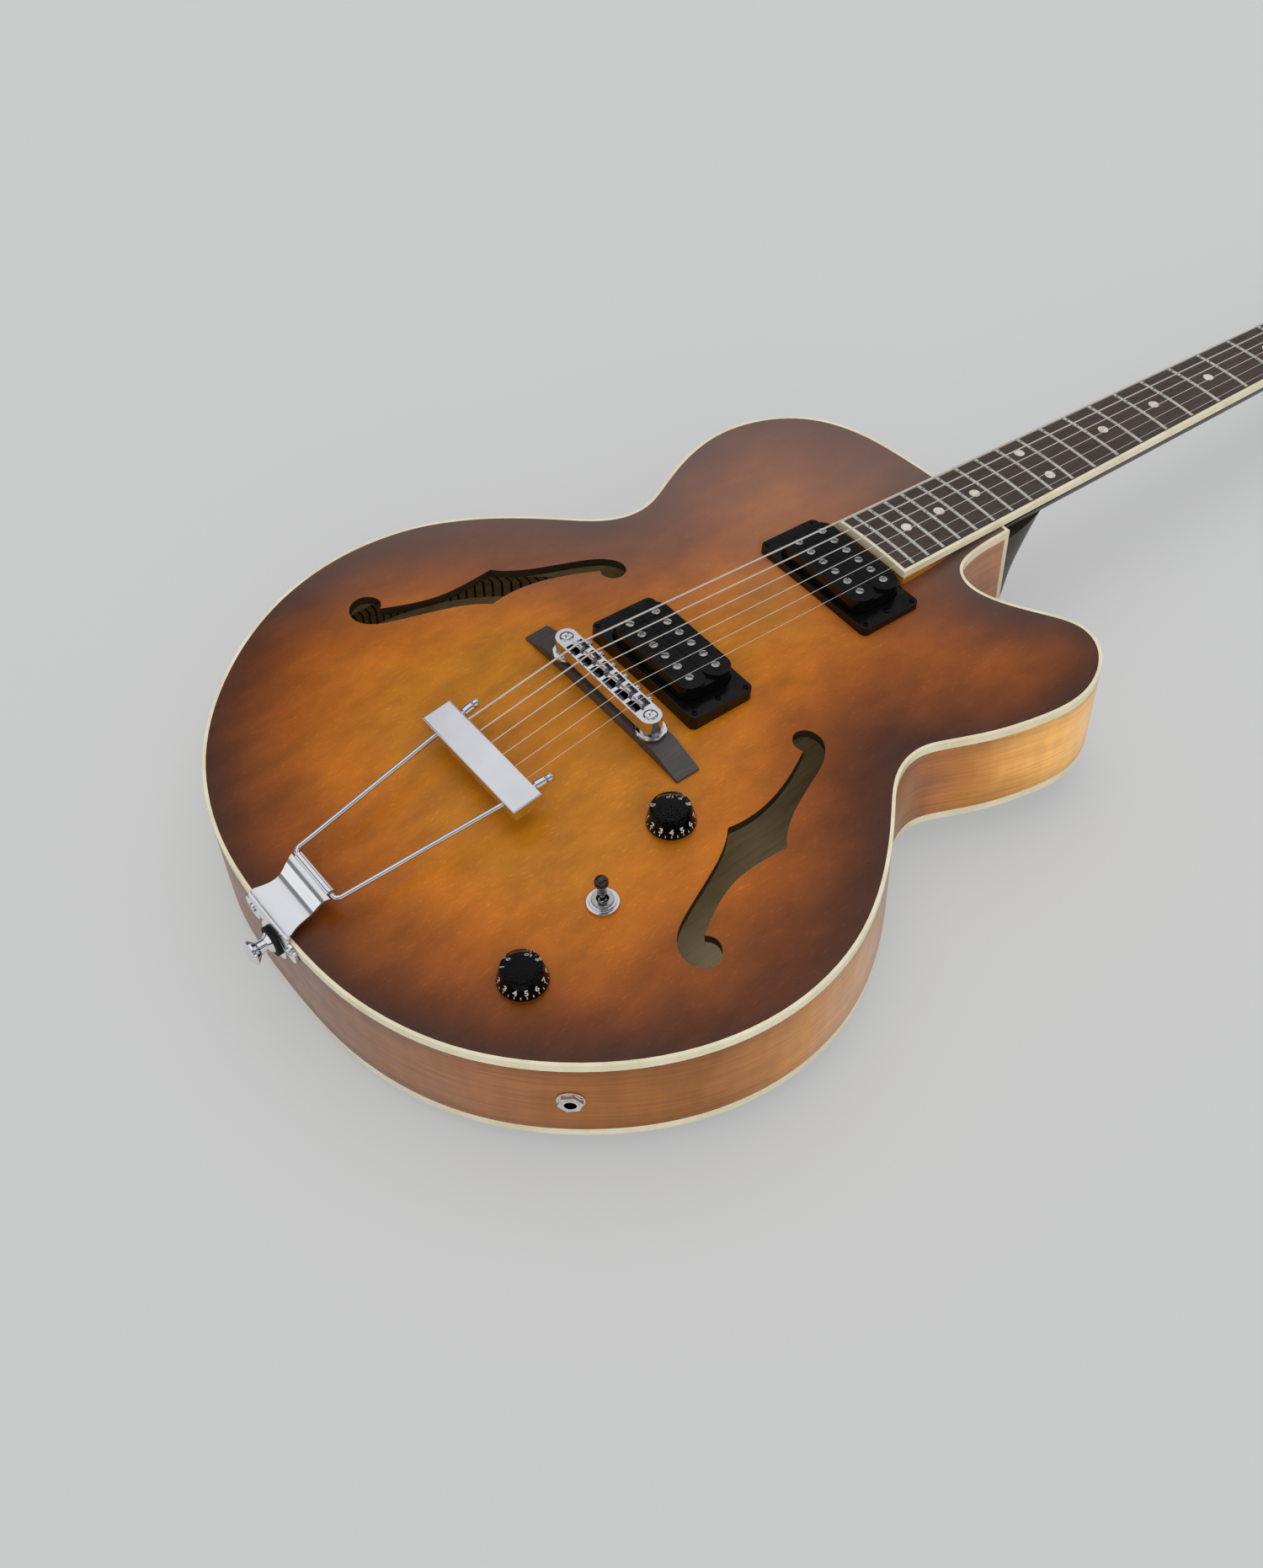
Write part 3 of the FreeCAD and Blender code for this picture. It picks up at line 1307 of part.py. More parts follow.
# Strap button
def button_profile():
    """Turned profile of a strap button, foot at zero."""
    waist, head = f"{cell('button_waist_diameter')} / 2", f"{cell('button_head_diameter')} / 2"
    foot, tall = f"{cell('button_foot_diameter')} / 2", cell("button_height")
    return [("0", "0"), (foot, "0"), (waist, cell("button_foot_thickness")),
            (waist, f"{tall} - 2 * {cell('button_head_thickness')}"),
            (head, f"{tall} - {cell('button_head_thickness')}"),
            (head, f"{tall} - {cell('button_head_thickness')} / 2"), (waist, tall), ("0", tall)]


def end_button_place(out):
    seat = -tail_length - mm("bracket_thickness")
    return facing(V(0, seat - out, -mm("end_button_drop")), V(0, -1, 0))


def make_button():
    body = new_body("strap_button")
    revolve(body, button_profile())
    body.Placement = end_button_place(mm("felt_thickness"))
    keep("strap_button", body)
    felt = cylinder(f"{cell('felt_diameter')} / 2", cell("felt_thickness"), end_button_place(0))
    keep("felt_washer", felt)


# Pickups
def make_pickups():
    deep = mm("ring_depth")
    ring = centred_box(mm("ring_length"), mm("ring_width"), -deep, 0)
    ring = ring.makeFillet(mm("ring_corner"), [e for e in ring.Edges if e.BoundBox.ZLength > deep / 2])
    clear = mm("pickup_clearance")
    half = mm("bobbin_width") / 2
    bobbins, windows = [], []
    for side in (-1, 1):
        bobbin = stadium(mm("bobbin_length"), mm("bobbin_width"), -mm("bobbin_depth"), mm("bobbin_stand"))
        window = stadium(mm("bobbin_length") + 2 * clear, mm("bobbin_width") + 2 * clear, -2 * deep, deep)
        for solid, kept in ((bobbin, bobbins), (window, windows)):
            solid.rotate(V(0, 0, 0), V(0, 0, 1), SQUARE_TURN)
            solid.translate(V(0, side * (half + mm("bobbin_gap") / 2), 0))
            kept.append(solid)
    across = mm("bobbin_width") + mm("bobbin_gap")
    wrap = centred_box(mm("bobbin_length"), across, -mm("bobbin_depth"), mm("bobbin_stand") - mm("bobbin_flange"))
    windows.append(centred_box(mm("bobbin_length") + 2 * clear, across, -2 * deep, deep))
    ring = ring.cut(windows)
    top, low = -mm("bobbin_depth"), -mm("bobbin_depth") - mm("pickup_base_thickness")
    straight = mm("bobbin_length") - mm("bobbin_width")
    plate = centred_box(straight, bobbins_width(), low, top)
    legs = centred_box(mm("pickup_leg_length"), mm("pickup_leg_width"), low, top)
    unit = bobbins[0].fuse([bobbins[1], plate, legs, wrap]).removeSplitter()
    rings = []
    for name, frame in PICKUPS.items():
        rings.append(in_frame(ring, frame).cut(UNDER_TOP))
        keep(f"{name}_pickup", feature(f"{name}_pickup", in_frame(unit, frame)))
    keep("pickup_rings", feature("pickup_rings", Part.makeCompound(rings)))


# Controls
def hexagon(width, height, place):
    """A six-sided nut blank: width across its flats."""
    corner = width / math.sqrt(3)
    points = [Turn(V(0, 0, 1), FULL_TURN * i / HEX_SIDES).multVec(V(corner, 0, 0)) for i in range(HEX_SIDES)]
    return in_frame(Part.Face(Part.makePolygon(points + points[:1])).extrude(V(0, 0, height)), place)


def knob_profile():
    rim, top = f"{cell('knob_diameter')} / 2", f"{cell('knob_top_diameter')} / 2"
    cave, tall = f"{cell('knob_cave_diameter')} / 2", cell("knob_height")
    bore = f"{cell('shaft_diameter')} / 2"
    hole_end = f"{tall} - {cell('knob_rim_height')}"
    return [(cave, "0"), (rim, "0"), (rim, cell("knob_rim_height")),
            (f"{top} + {cell('knob_rim_height')}", f"{tall} / 2"), (top, f"{tall} - {cell('knob_rim_height')} / 3"),
            (f"{top} - {cell('knob_rim_height')} / 3", tall), ("0", tall), ("0", hole_end), (bore, hole_end),
            (bore, cell("knob_cave_depth")), (cave, cell("knob_cave_depth"))]


def make_knobs():
    for name in ("volume", "tone"):
        seat = control_place(name)
        place = Place(seat + V(0, 0, mm("knob_lift")), Turn())
        body = new_body(f"{name}_knob_shell")
        revolve(body, knob_profile())
        body.Placement = place
        down = mm("shaft_depth")
        tall = f"{cell('knob_height')} - {cell('knob_rim_height')} + {cell('knob_lift')} + {cell('shaft_depth')}"
        shaft = cylinder(f"{cell('shaft_diameter')} / 2", tall, Place(seat - V(0, 0, down), Turn()))
        keep(f"{name}_knob", group(f"{name}_knob", [body, shaft]))


def make_control_bodies():
    """Potentiometers and switch below the soundboard, and the nuts that hold them."""
    bodies, nuts = [], []
    below = mm("plate_thickness") + mm("pot_drop")
    for name in ("volume", "tone"):
        seat = control_place(name)
        thread = cylinder(f"{cell('pot_thread_diameter')} / 2",
                          f"{cell('plate_thickness')} + {cell('pot_drop')} + {cell('pot_thread_stand')}",
                          Place(seat - V(0, 0, below), Turn()))
        case = cylinder(f"{cell('pot_diameter')} / 2", cell("pot_height"),
                        Place(seat - V(0, 0, below + mm("pot_height")), Turn()))
        bore = cylinder(f"{cell('shaft_diameter')} / 2 + {cell('running_clearance')}", cell("overrun"),
                        Place(seat - V(0, 0, mm("shaft_depth") + mm("running_clearance")), Turn()))
        bodies.append(cut(f"{name}_pot", fuse("pot_blank", [thread, case]), bore))
        place = Place(seat - V(0, 0, mm("nut_sink")), Turn())
        tall = mm("pot_nut_height") + mm("nut_sink")
        hole = in_frame(Part.makeCylinder(mm("pot_thread_diameter") / 2, tall), place)
        nuts.append(feature("pot_nut", hexagon(mm("pot_nut_width"), tall, place).cut([hole, UNDER_TOP])))
    seat = control_place("switch")
    thread = cylinder(f"{cell('switch_thread_diameter')} / 2",
                      f"{cell('plate_thickness')} + {cell('pot_drop')} + {cell('switch_thread_stand')}",
                      Place(seat - V(0, 0, below), Turn()))
    case = box(cell("switch_box_width"), cell("switch_box_length"), cell("switch_box_height"),
               Place(seat - V(0, 0, below + mm("switch_box_height")), Turn()))
    bore = cylinder(f"{cell('switch_bore_diameter')} / 2", cell("overrun"),
                    Place(seat + V(0, 0, mm("switch_pivot_stand") - 2 * mm("lever_below")), Turn()))
    bodies.append(cut("switch", fuse("switch_blank", [thread, case]), bore))
    keep("control_bodies", group("control_bodies", bodies))
    sunk = Place(seat - V(0, 0, mm("nut_sink")), Turn())
    flange = cylinder(f"{cell('switch_washer_diameter')} / 2",
                      f"{cell('switch_washer_height')} + {cell('nut_sink')}", sunk)
    collar = cylinder(f"{cell('switch_nut_diameter')} / 2", f"{cell('switch_nut_height')} + {cell('nut_sink')}", sunk)
    eye = cylinder(f"{cell('switch_thread_diameter')} / 2", cell("overrun"), sunk)
    bed = group("switch_nut_cuts", [eye, feature("switch_bed", UNDER_TOP)])
    nuts.append(cut("switch_nut", fuse("switch_nut_blank", [flange, collar]), bed))
    outside = JACK_FRAME.multiply(Place(V(0, 0, mm("hole_clearance")), Turn()))
    washer = cylinder(f"{cell('jack_washer_diameter')} / 2", cell("jack_washer_thickness"), outside)
    sleeve = cylinder(f"{cell('jack_sleeve_diameter')} / 2", cell("overrun"), JACK_FRAME)
    nuts.append(cut("jack_washer", washer, sleeve))
    on_washer = outside.multiply(Place(V(0, 0, mm("jack_washer_thickness")), Turn()))
    hole = in_frame(Part.makeCylinder(mm("jack_sleeve_diameter") / 2, mm("jack_nut_height")), on_washer)
    nuts.append(feature("jack_nut", hexagon(mm("jack_nut_width"), mm("jack_nut_height"), on_washer).cut(hole)))
    keep("control_nuts", group("control_nuts", nuts))


def make_lever():
    """Switch lever: a thin bar with a round tip, on the barrel that it rocks on."""
    seat = control_place("switch")
    pivot = seat + V(0, 0, mm("switch_pivot_stand"))
    stem = cylinder(f"{cell('lever_diameter')} / 2", f"{cell('lever_below')} + {cell('lever_stand')}",
                    Place(pivot - V(0, 0, mm("lever_below")), Turn()))
    tip = doc.addObject("Part::Sphere", "lever_tip")
    tip.setExpression("Radius", f"{cell('lever_tip_diameter')} / 2")
    tip.Placement = Place(pivot + V(0, 0, mm("lever_stand")), Turn())
    barrel = cylinder(f"{cell('lever_pivot_diameter')} / 2", cell("lever_pivot_length"),
                      facing(pivot - V(mm("lever_pivot_length") / 2, 0, 0), V(1, 0, 0)))
    keep("switch_lever", fuse("switch_lever", [stem, tip, barrel]))


def make_jack():
    """Output socket: a sleeve through the rib and its case inside."""
    inside = mm("rib_thickness") + mm("jack_case_gap")
    back = inside + mm("jack_case_length")
    sleeve = cylinder(f"{cell('jack_sleeve_diameter')} / 2",
                      f"{cell('rib_thickness')} + {cell('jack_case_gap')} + {cell('jack_sleeve_stand')}",
                      JACK_FRAME.multiply(Place(V(0, 0, -inside), Turn())))
    case = cylinder(f"{cell('jack_case_diameter')} / 2", cell("jack_case_length"),
                    JACK_FRAME.multiply(Place(V(0, 0, -back), Turn())))
    bore = cylinder(f"{cell('jack_bore_diameter')} / 2", f"2 * {cell('overrun')}",
                    JACK_FRAME.multiply(Place(V(0, 0, -mm("overrun")), Turn())))
    keep("jack_socket", cut("jack_socket", fuse("jack_blank", [sleeve, case]), bore))


# Resting frame
def resting_frame():
    """The frame in which the back and the tip of the head lie on the floor, middle of length at zero."""
    tip = head_frame.multVec(V(0, mm("head_length"), -mm("head_thickness")))
    stations = [-tail_length + mm("body_length") * step / REST_STEPS for step in range(REST_STEPS + 1)]
    back_line = [(y, back_height(0, y)) for y in stations]
    slope = max((tip.z - z) / (tip.y - y) for y, z in back_line)
    turn = Turn(V(1, 0, 0), -math.degrees(math.atan(slope)))
    front = head_frame.multVec(V(0, mm("head_length"), 0))
    button = end_button_place(mm("felt_thickness") + mm("button_height"))
    reach = [turn.multVec(button.multVec(V(0, side * mm("button_waist_diameter") / 2, 0))).y for side in (-1, 1)]
    middle = (turn.multVec(front).y + min(reach)) / 2
    return Place(V(0, -middle, -turn.multVec(tip).z), turn)


def write_parts(frame):
    """Check every object, carry the sub-parts into the resting frame and write them."""
    doc.recompute()
    for thing in parts.values():
        thing.Placement = frame.multiply(thing.Placement)
    doc.recompute()
    for thing in doc.Objects:
        if {"Invalid", "Error"} & set(thing.State):
            raise RuntimeError(f"{thing.Label} failed: {thing.State}")
    for label, thing in parts.items():
        if thing.Shape.isNull() or not thing.Shape.isValid() or not thing.Shape.Solids:
            raise RuntimeError(f"{label} has no valid solid")
    os.makedirs("parts", exist_ok=True)
    for label, thing in parts.items():
        thing.Shape.exportStep(f"parts/{label}.step")
    print(len(parts), "sub-parts written")


make_plates()
make_ribs()
make_binding()
make_blocks()
make_linings()
make_tone_bars()
make_fretboard()
make_frets()
make_nut()
make_neck()
make_head_face()
make_tuners()
make_bridge_base()
make_thumbwheels()
make_bridge_body()
make_saddles()
make_bracket()
make_trapeze()
make_button()
make_pickups()
make_knobs()
make_control_bodies()
make_lever()
make_jack()
make_strings()
row_frame = resting_frame()
write_parts(row_frame)
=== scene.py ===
"""Looks of a hollow archtop guitar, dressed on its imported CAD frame.

Lengths are millimetres until a mesh is made. Meshes are in metres, in the frame of the CAD model.
"""
import json
import math

import bmesh
import bpy
import numpy
from bpy.props import FloatProperty, FloatVectorProperty, IntProperty, PointerProperty
from mathutils import Matrix, Vector
from mathutils.bvhtree import BVHTree
from mathutils.kdtree import KDTree
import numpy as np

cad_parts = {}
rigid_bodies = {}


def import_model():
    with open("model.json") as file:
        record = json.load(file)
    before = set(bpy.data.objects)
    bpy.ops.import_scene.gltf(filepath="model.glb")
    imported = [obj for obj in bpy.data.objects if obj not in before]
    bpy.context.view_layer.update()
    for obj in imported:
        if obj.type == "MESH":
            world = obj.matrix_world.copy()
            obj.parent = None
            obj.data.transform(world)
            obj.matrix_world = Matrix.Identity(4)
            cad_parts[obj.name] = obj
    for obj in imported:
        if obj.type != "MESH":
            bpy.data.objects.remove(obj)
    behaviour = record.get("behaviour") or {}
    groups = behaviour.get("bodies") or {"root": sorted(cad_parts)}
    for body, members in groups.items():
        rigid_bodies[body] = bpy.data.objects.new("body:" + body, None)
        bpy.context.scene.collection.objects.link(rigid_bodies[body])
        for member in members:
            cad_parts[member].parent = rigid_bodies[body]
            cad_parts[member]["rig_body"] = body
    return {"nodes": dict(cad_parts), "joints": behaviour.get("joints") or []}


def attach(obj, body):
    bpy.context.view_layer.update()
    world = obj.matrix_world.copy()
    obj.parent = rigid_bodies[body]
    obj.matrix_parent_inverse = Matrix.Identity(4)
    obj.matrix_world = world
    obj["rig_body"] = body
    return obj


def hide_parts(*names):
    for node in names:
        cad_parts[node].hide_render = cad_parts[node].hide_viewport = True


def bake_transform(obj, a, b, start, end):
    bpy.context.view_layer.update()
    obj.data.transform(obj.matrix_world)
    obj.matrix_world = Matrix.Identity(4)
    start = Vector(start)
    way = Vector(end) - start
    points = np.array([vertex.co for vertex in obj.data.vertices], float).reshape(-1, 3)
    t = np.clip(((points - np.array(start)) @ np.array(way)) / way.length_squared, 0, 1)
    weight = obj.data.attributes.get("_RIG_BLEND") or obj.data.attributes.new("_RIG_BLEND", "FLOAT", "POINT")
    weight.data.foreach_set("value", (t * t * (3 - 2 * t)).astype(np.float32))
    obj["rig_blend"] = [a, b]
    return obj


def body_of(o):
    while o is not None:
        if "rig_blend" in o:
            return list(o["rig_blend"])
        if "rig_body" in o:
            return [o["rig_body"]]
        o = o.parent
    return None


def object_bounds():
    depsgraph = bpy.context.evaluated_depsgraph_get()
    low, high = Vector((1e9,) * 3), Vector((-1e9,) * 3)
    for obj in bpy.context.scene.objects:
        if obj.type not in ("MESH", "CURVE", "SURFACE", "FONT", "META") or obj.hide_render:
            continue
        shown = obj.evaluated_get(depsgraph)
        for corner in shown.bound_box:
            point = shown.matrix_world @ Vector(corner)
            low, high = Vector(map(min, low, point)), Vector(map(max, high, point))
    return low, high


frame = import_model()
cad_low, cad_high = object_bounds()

bl_info = {
    "name": "Archtop guitar looks",
    "version": (1, 0, 0),
    "blender": (4, 5, 0),
    "location": "View3D > Sidebar > Guitar",
    "description": "Builds the looks of a hollow archtop guitar on its CAD frame",
    "category": "Object",
}

MM = 0.001
joints = {joint["name"]: joint for joint in frame["joints"]}
finishes = {}


# Frames of the guitar
def axes(x, y, z, origin):
    """The matrix of a frame from its three axes and its origin."""
    matrix = Matrix((x, y, z)).transposed().to_4x4()
    matrix.translation = origin
    return matrix


def shifted(base, x, y, z, tilt=0, turn=0):
    """A frame moved in another one by millimetres, then tilted about its X and turned about its Z by degrees."""
    tilted = Matrix.Rotation(math.radians(tilt), 4, "X") @ Matrix.Rotation(math.radians(turn), 4, "Z")
    return base @ Matrix.Translation(Vector((x, y, z)) * MM) @ tilted


def spot(base, x, y, z):
    """A point given in millimetres in a frame, as metres in the CAD model."""
    return base @ (Vector((x, y, z)) * MM)


# Places and tilts of the frames of its parts, in millimetres and degrees
WHEEL_LEVEL = 22.7
NECK_LEVEL, NECK_TILT = 33.5, -5.74
HEAD_START, HEAD_LEVEL, HEAD_TILT = 635.9, -6, -13
HINGE_Y, HINGE_LEVEL, TRAPEZE_TILT = -187, 13.6, 6.4
PICKUP_SEATS, PICKUP_TILT = {"bridge": (42.8, 20.0), "neck": (165.6, 7.25)}, -5.9
up = Vector(joints["bridge_height"]["axis"])
across = Vector((1, 0, 0))


def upright(origin):
    """A frame square to the soundboard, X to the treble side and Y to the head."""
    return axes(across, up.cross(across), up, origin)


wheel_spots = [Vector(joints[f"thumbwheel_{side}_turn"]["pos_m"]) for side in ("bass", "treble")]
body_frame = upright(sum(wheel_spots, Vector()) / 2 - up * WHEEL_LEVEL * MM)
to_body = body_frame.inverted()
neck_frame = shifted(body_frame, 0, 0, NECK_LEVEL, NECK_TILT)
head_frame = shifted(neck_frame, 0, HEAD_START, HEAD_LEVEL, HEAD_TILT)
trapeze_frame = shifted(body_frame, 0, HINGE_Y, HINGE_LEVEL, TRAPEZE_TILT)
pickup_frames = {name: shifted(body_frame, 0, *seat, PICKUP_TILT) for name, seat in PICKUP_SEATS.items()}


def length(name, description, default, low, high):
    """A setting in millimetres."""
    return FloatProperty(name=name, description=f"{description}, in millimetres", default=default, min=low, max=high)


class GuitarSettings(bpy.types.PropertyGroup):
    """Sizes and colours of the guitar's looks."""
    burst_width: length("Burst width", "How far the dark stain reaches in from the edge", 118.0, 10.0, 250.0)
    amber: FloatVectorProperty(
        name="Amber", description="Stain in the middle of the soundboard", subtype="COLOR",
        default=(0.46, 0.162, 0.006), size=3, min=0.0, max=1.0)
    bevel: length("Edge wear", "Rounding of the edges of hard pieces", 0.3, 0.05, 1.0)
    pole_pitch: length("Pole pitch", "Distance between pole screws", 10.4, 8.0, 12.0)
    string_nut_spread: length("Strings at nut", "Distance between the outer strings at the nut", 35.4, 30.0, 45.0)
    string_bridge_spread: length(
        "Strings at bridge", "Distance between the outer strings at the bridge", 53.0, 45.0, 60.0)
    post_turns: IntProperty(
        name="Turns on a post", description="Turns of string on each tuner post", default=3, min=1, max=6)
    lens: length("Lens", "Focal length of the camera", 43.8, 20.0, 120.0)
    light: FloatProperty(
        name="Light", description="Power of the large soft lamp", default=20.0, min=0.0, max=200.0, unit="POWER")
    floor: FloatVectorProperty(
        name="Floor", description="Colour of the floor", subtype="COLOR", default=(0.64, 0.64, 0.635), size=3,
        min=0.0, max=1.0)


def settings():
    """The guitar's settings in the open scene."""
    return bpy.context.scene.guitar


# Materials
NOISE_LOW, NOISE_HIGH, NOISE_ROUGHNESS = 0.3, 0.7, 0.55
# Zones of the stain along the body, and of the painted sheen on the soundboard, in millimetres of its frame
TAIL_START, TAIL_END, TAIL_GAIN = -60, -190, 1.42
PAINTED_SHEEN_START, PAINTED_SHEEN_END, PAINTED_SHEEN_SLANT, TOP_PAINTED_SHEEN = 40, 300, -1.15, 0.42
# Span along the body of the rib's stain ramp, which also holds painted shade and a painted highlight
RIB_START, RIB_END = -216, 240
CUTAWAY_OUTER, CUTAWAY_INNER, CUTAWAY_START, CUTAWAY_END, CUTAWAY_SHARE = 125, 75, 80, 150, 0.75
RIB_EDGE = 14.0
TONGUE_END, NECK_START = 204, 238
# Step of the kerfs in millimetres, and the share of each step painted dark as the shade in its saw cut
KERF_STEP, KERF_PAINTED_SHADE_SHARE = 4.6, 0.25
WINDING_PITCH = 0.6
METAL = {"Metallic": 1.0}


def linear(code):
    """An sRGB hex colour as linear RGBA."""
    values = []
    for start in (1, 3, 5):
        part = int(code[start:start + 2], 16) / 255
        values.append(part / 12.92 if part <= 0.04045 else ((part + 0.055) / 1.055) ** 2.4)
    return (*values, 1.0)


def body_y(y):
    """A distance along the body in millimetres, as Y of the CAD model in metres."""
    return spot(body_frame, 0, y, 0).y


def add(tree, kind, inputs=None, stops=None, **options):
    """Adds one node, with its options, then its inputs as values or links, and a ramp's stops."""
    node = tree.nodes.new(kind)
    for name, value in options.items():
        setattr(node, name, value)
    for key, value in (inputs or {}).items():
        if isinstance(value, bpy.types.NodeSocket):
            tree.links.new(value, node.inputs[key])
        else:
            node.inputs[key].default_value = value
    if stops:
        elements = node.color_ramp.elements
        while len(elements) < len(stops):
            elements.new(0.5)
        for element, (position, colour) in zip(elements, stops):
            element.position = position
            element.color = colour if isinstance(colour, tuple) else linear(colour)
    return node


def calc(tree, operation, *values):
    """The result of one step of arithmetic."""
    return add(tree, "ShaderNodeMath", dict(enumerate(values)), operation=operation).outputs[0]


def ramp(tree, share, stops):
    """The colour at a share of the way along a row of stops."""
    return add(tree, "ShaderNodeValToRGB", {"Fac": share}, stops=stops).outputs["Color"]


def mapped(tree, value, start, end, low=0.0, high=1.0, curve="LINEAR"):
    """A value carried from one range to another and held at its ends."""
    return add(tree, "ShaderNodeMapRange", {"Value": value, "From Min": start, "From Max": end, "To Min": low,
                                            "To Max": high}, interpolation_type=curve).outputs["Result"]


def mixed(tree, share, one, other, blend="MIX"):
    """Two colours mixed by a share."""
    return add(tree, "ShaderNodeMix", {0: share, 6: one, 7: other}, data_type="RGBA", blend_type=blend).outputs[2]


def attribute(tree, name):
    """A number that the mesh holds on each point."""
    return add(tree, "ShaderNodeAttribute", attribute_name=name).outputs["Fac"]


def place_on(tree):
    """X, Y and Z of the shaded point, in metres."""
    where = add(tree, "ShaderNodeTexCoord").outputs["Object"]
    return add(tree, "ShaderNodeSeparateXYZ", {0: where}).outputs


def new_finish(name, **inputs):
    """A material with a Principled shader; returns it, its tree and the shader."""
    material = bpy.data.materials.new(name)
    material.use_nodes = True
    tree = material.node_tree
    tree.nodes.clear()
    shader = add(tree, "ShaderNodeBsdfPrincipled", {key.replace("_", " "): value for key, value in inputs.items()})
    add(tree, "ShaderNodeOutputMaterial", {"Surface": shader.outputs["BSDF"]})
    return material, tree, shader


def mottle(tree, size, stretch=(1, 1, 1), detail=3.0, turn=0.0):
    """Soft noise whose blotches are so many millimetres wide, longer along an axis by its stretch."""
    where = add(tree, "ShaderNodeTexCoord")
    scale = tuple(1 / (size * MM * share) for share in stretch)
    placed = add(tree, "ShaderNodeMapping", {"Vector": where.outputs["Object"], "Scale": scale,
                                             "Rotation": (0, 0, math.radians(turn))})
    return add(tree, "ShaderNodeTexNoise", {"Vector": placed.outputs["Vector"], "Scale": 1.0, "Detail": detail,
                                            "Roughness": NOISE_ROUGHNESS}).outputs["Fac"]


def spread(tree, value, low, high):
    """Maps the middle of a noise to a range."""
    return mapped(tree, value, NOISE_LOW, NOISE_HIGH, low, high)


def tinted(tree, colour, factor):
    """A colour made lighter or darker by a factor."""
    grey = add(tree, "ShaderNodeCombineColor", {0: factor, 1: factor, 2: factor})
    return mixed(tree, 1.0, colour, grey.outputs["Color"], "MULTIPLY")


def coat(tree, shader, colour, rough=None):
    """Gives a shader its colour, and its roughness where that varies."""
    tree.links.new(colour, shader.inputs["Base Color"])
    if rough is not None:
        tree.links.new(rough, shader.inputs["Roughness"])


def relief(tree, shader, height, depth, strength):
    """Bump of a real depth in millimetres."""
    bump = add(tree, "ShaderNodeBump", {"Height": height, "Distance": depth * MM, "Strength": strength})
    tree.links.new(bump.outputs["Normal"], shader.inputs["Normal"])


def burst_finish(name, reach, stops, painted_sheen):
    """Stained spruce or maple under satin lacquer.

    It is darker towards the edge in soft clouds, less so at the tail, and has a painted sheen, a pale grey mixed in, at
    the bass shoulder.
    """
    material, tree, shader = new_finish(name, Specular_IOR_Level=0.26)
    place = place_on(tree)
    cloud = spread(tree, mottle(tree, 70, detail=2.0), -0.08, 0.08)
    tail = mapped(tree, place["Y"], body_y(TAIL_START), body_y(TAIL_END), 1 / reach, TAIL_GAIN / reach)
    stain = ramp(tree, calc(tree, "MULTIPLY_ADD", attribute(tree, "rim"), tail, cloud), stops)
    stain = tinted(tree, stain, spread(tree, mottle(tree, 15, (1, 2.0, 1), 4.0, 24), 0.8, 1.18))
    grain = mottle(tree, 1.6, (1, 40, 6), 2.0)
    stain = tinted(tree, stain, spread(tree, grain, 0.975, 1.025))
    stain = tinted(tree, stain, mapped(tree, mottle(tree, 0.8, (1, 6, 1), 1.0, 14), 0.6, 0.78, 1.0, 1.35))
    warm = spread(tree, mottle(tree, 38, (1, 1.5, 1), 3.0), 0.0, 0.5)
    stain = mixed(tree, warm, stain, linear("#fff0d0"), "MULTIPLY")
    # Painted sheen: a pale grey mixed into the stain towards the bass shoulder, standing in for the lacquer's
    # reflection there
    slanted = calc(tree, "MULTIPLY_ADD", place["X"], PAINTED_SHEEN_SLANT, place["Y"])
    pale = mapped(tree, slanted, body_y(PAINTED_SHEEN_START), body_y(PAINTED_SHEEN_END), 0.0, painted_sheen, "SMOOTHSTEP")
    stain = mixed(tree, pale, stain, linear("#8d7a73"))
    coat(tree, shader, stain, spread(tree, mottle(tree, 9), 0.3, 0.38))
    relief(tree, shader, grain, 0.01, 0.2)
    return material


def rib_finish(stops):
    """Maple bent round the sides: grain along it, brown at the tail, red in the cutaway, amber at the horn with a
    painted highlight there, and painted shade at the waist.
    """
    material, tree, shader = new_finish("stained_maple_ribs_painted_light", Specular_IOR_Level=0.3)
    place = place_on(tree)
    share = mapped(tree, place["Y"], body_y(RIB_START), body_y(RIB_END))
    cloud = spread(tree, mottle(tree, 45, (1, 1, 0.6), 2.0), -0.022, 0.022)
    # The stops along the rib are stain, with painted shade at the waist and a painted highlight towards the horn
    stain = ramp(tree, calc(tree, "ADD", share, cloud), stops)
    inward = mapped(tree, place["X"], CUTAWAY_OUTER * MM, CUTAWAY_INNER * MM, 0.0, CUTAWAY_SHARE, "SMOOTHSTEP")
    forward = mapped(tree, place["Y"], body_y(CUTAWAY_START), body_y(CUTAWAY_END))
    stain = mixed(tree, calc(tree, "MULTIPLY", inward, forward), stain, linear("#95564b"))
    stain = tinted(tree, stain, mapped(tree, attribute(tree, "rim"), 0.0, RIB_EDGE, 0.8, 1.0, "SMOOTHSTEP"))
    grain = mottle(tree, 1.8, (26, 26, 1), 4.0)
    stain = tinted(tree, stain, spread(tree, grain, 0.84, 1.16))
    stain = tinted(tree, stain, spread(tree, mottle(tree, 7, (1.2, 1.2, 5), 2.0), 0.93, 1.07))
    coat(tree, shader, stain, spread(tree, mottle(tree, 9), 0.28, 0.38))
    relief(tree, shader, grain, 0.01, 0.2)
    return material


def wood_finish(name, dark, light, grain, rough, length=30):
    """Plain wood: streaks along the neck, pores and a satin or dry surface."""
    material, tree, shader = new_finish(name)
    streak = mottle(tree, grain, (1, length, 1), 4.0)
    colour = ramp(tree, streak, [(0.32, dark), (0.68, light)])
    colour = tinted(tree, colour, spread(tree, mottle(tree, 30), 0.88, 1.1))
    coat(tree, shader, colour, spread(tree, mottle(tree, 3, (1, 8, 1)), rough - 0.06, rough + 0.06))
    relief(tree, shader, streak, 0.05, 0.4)
    return material


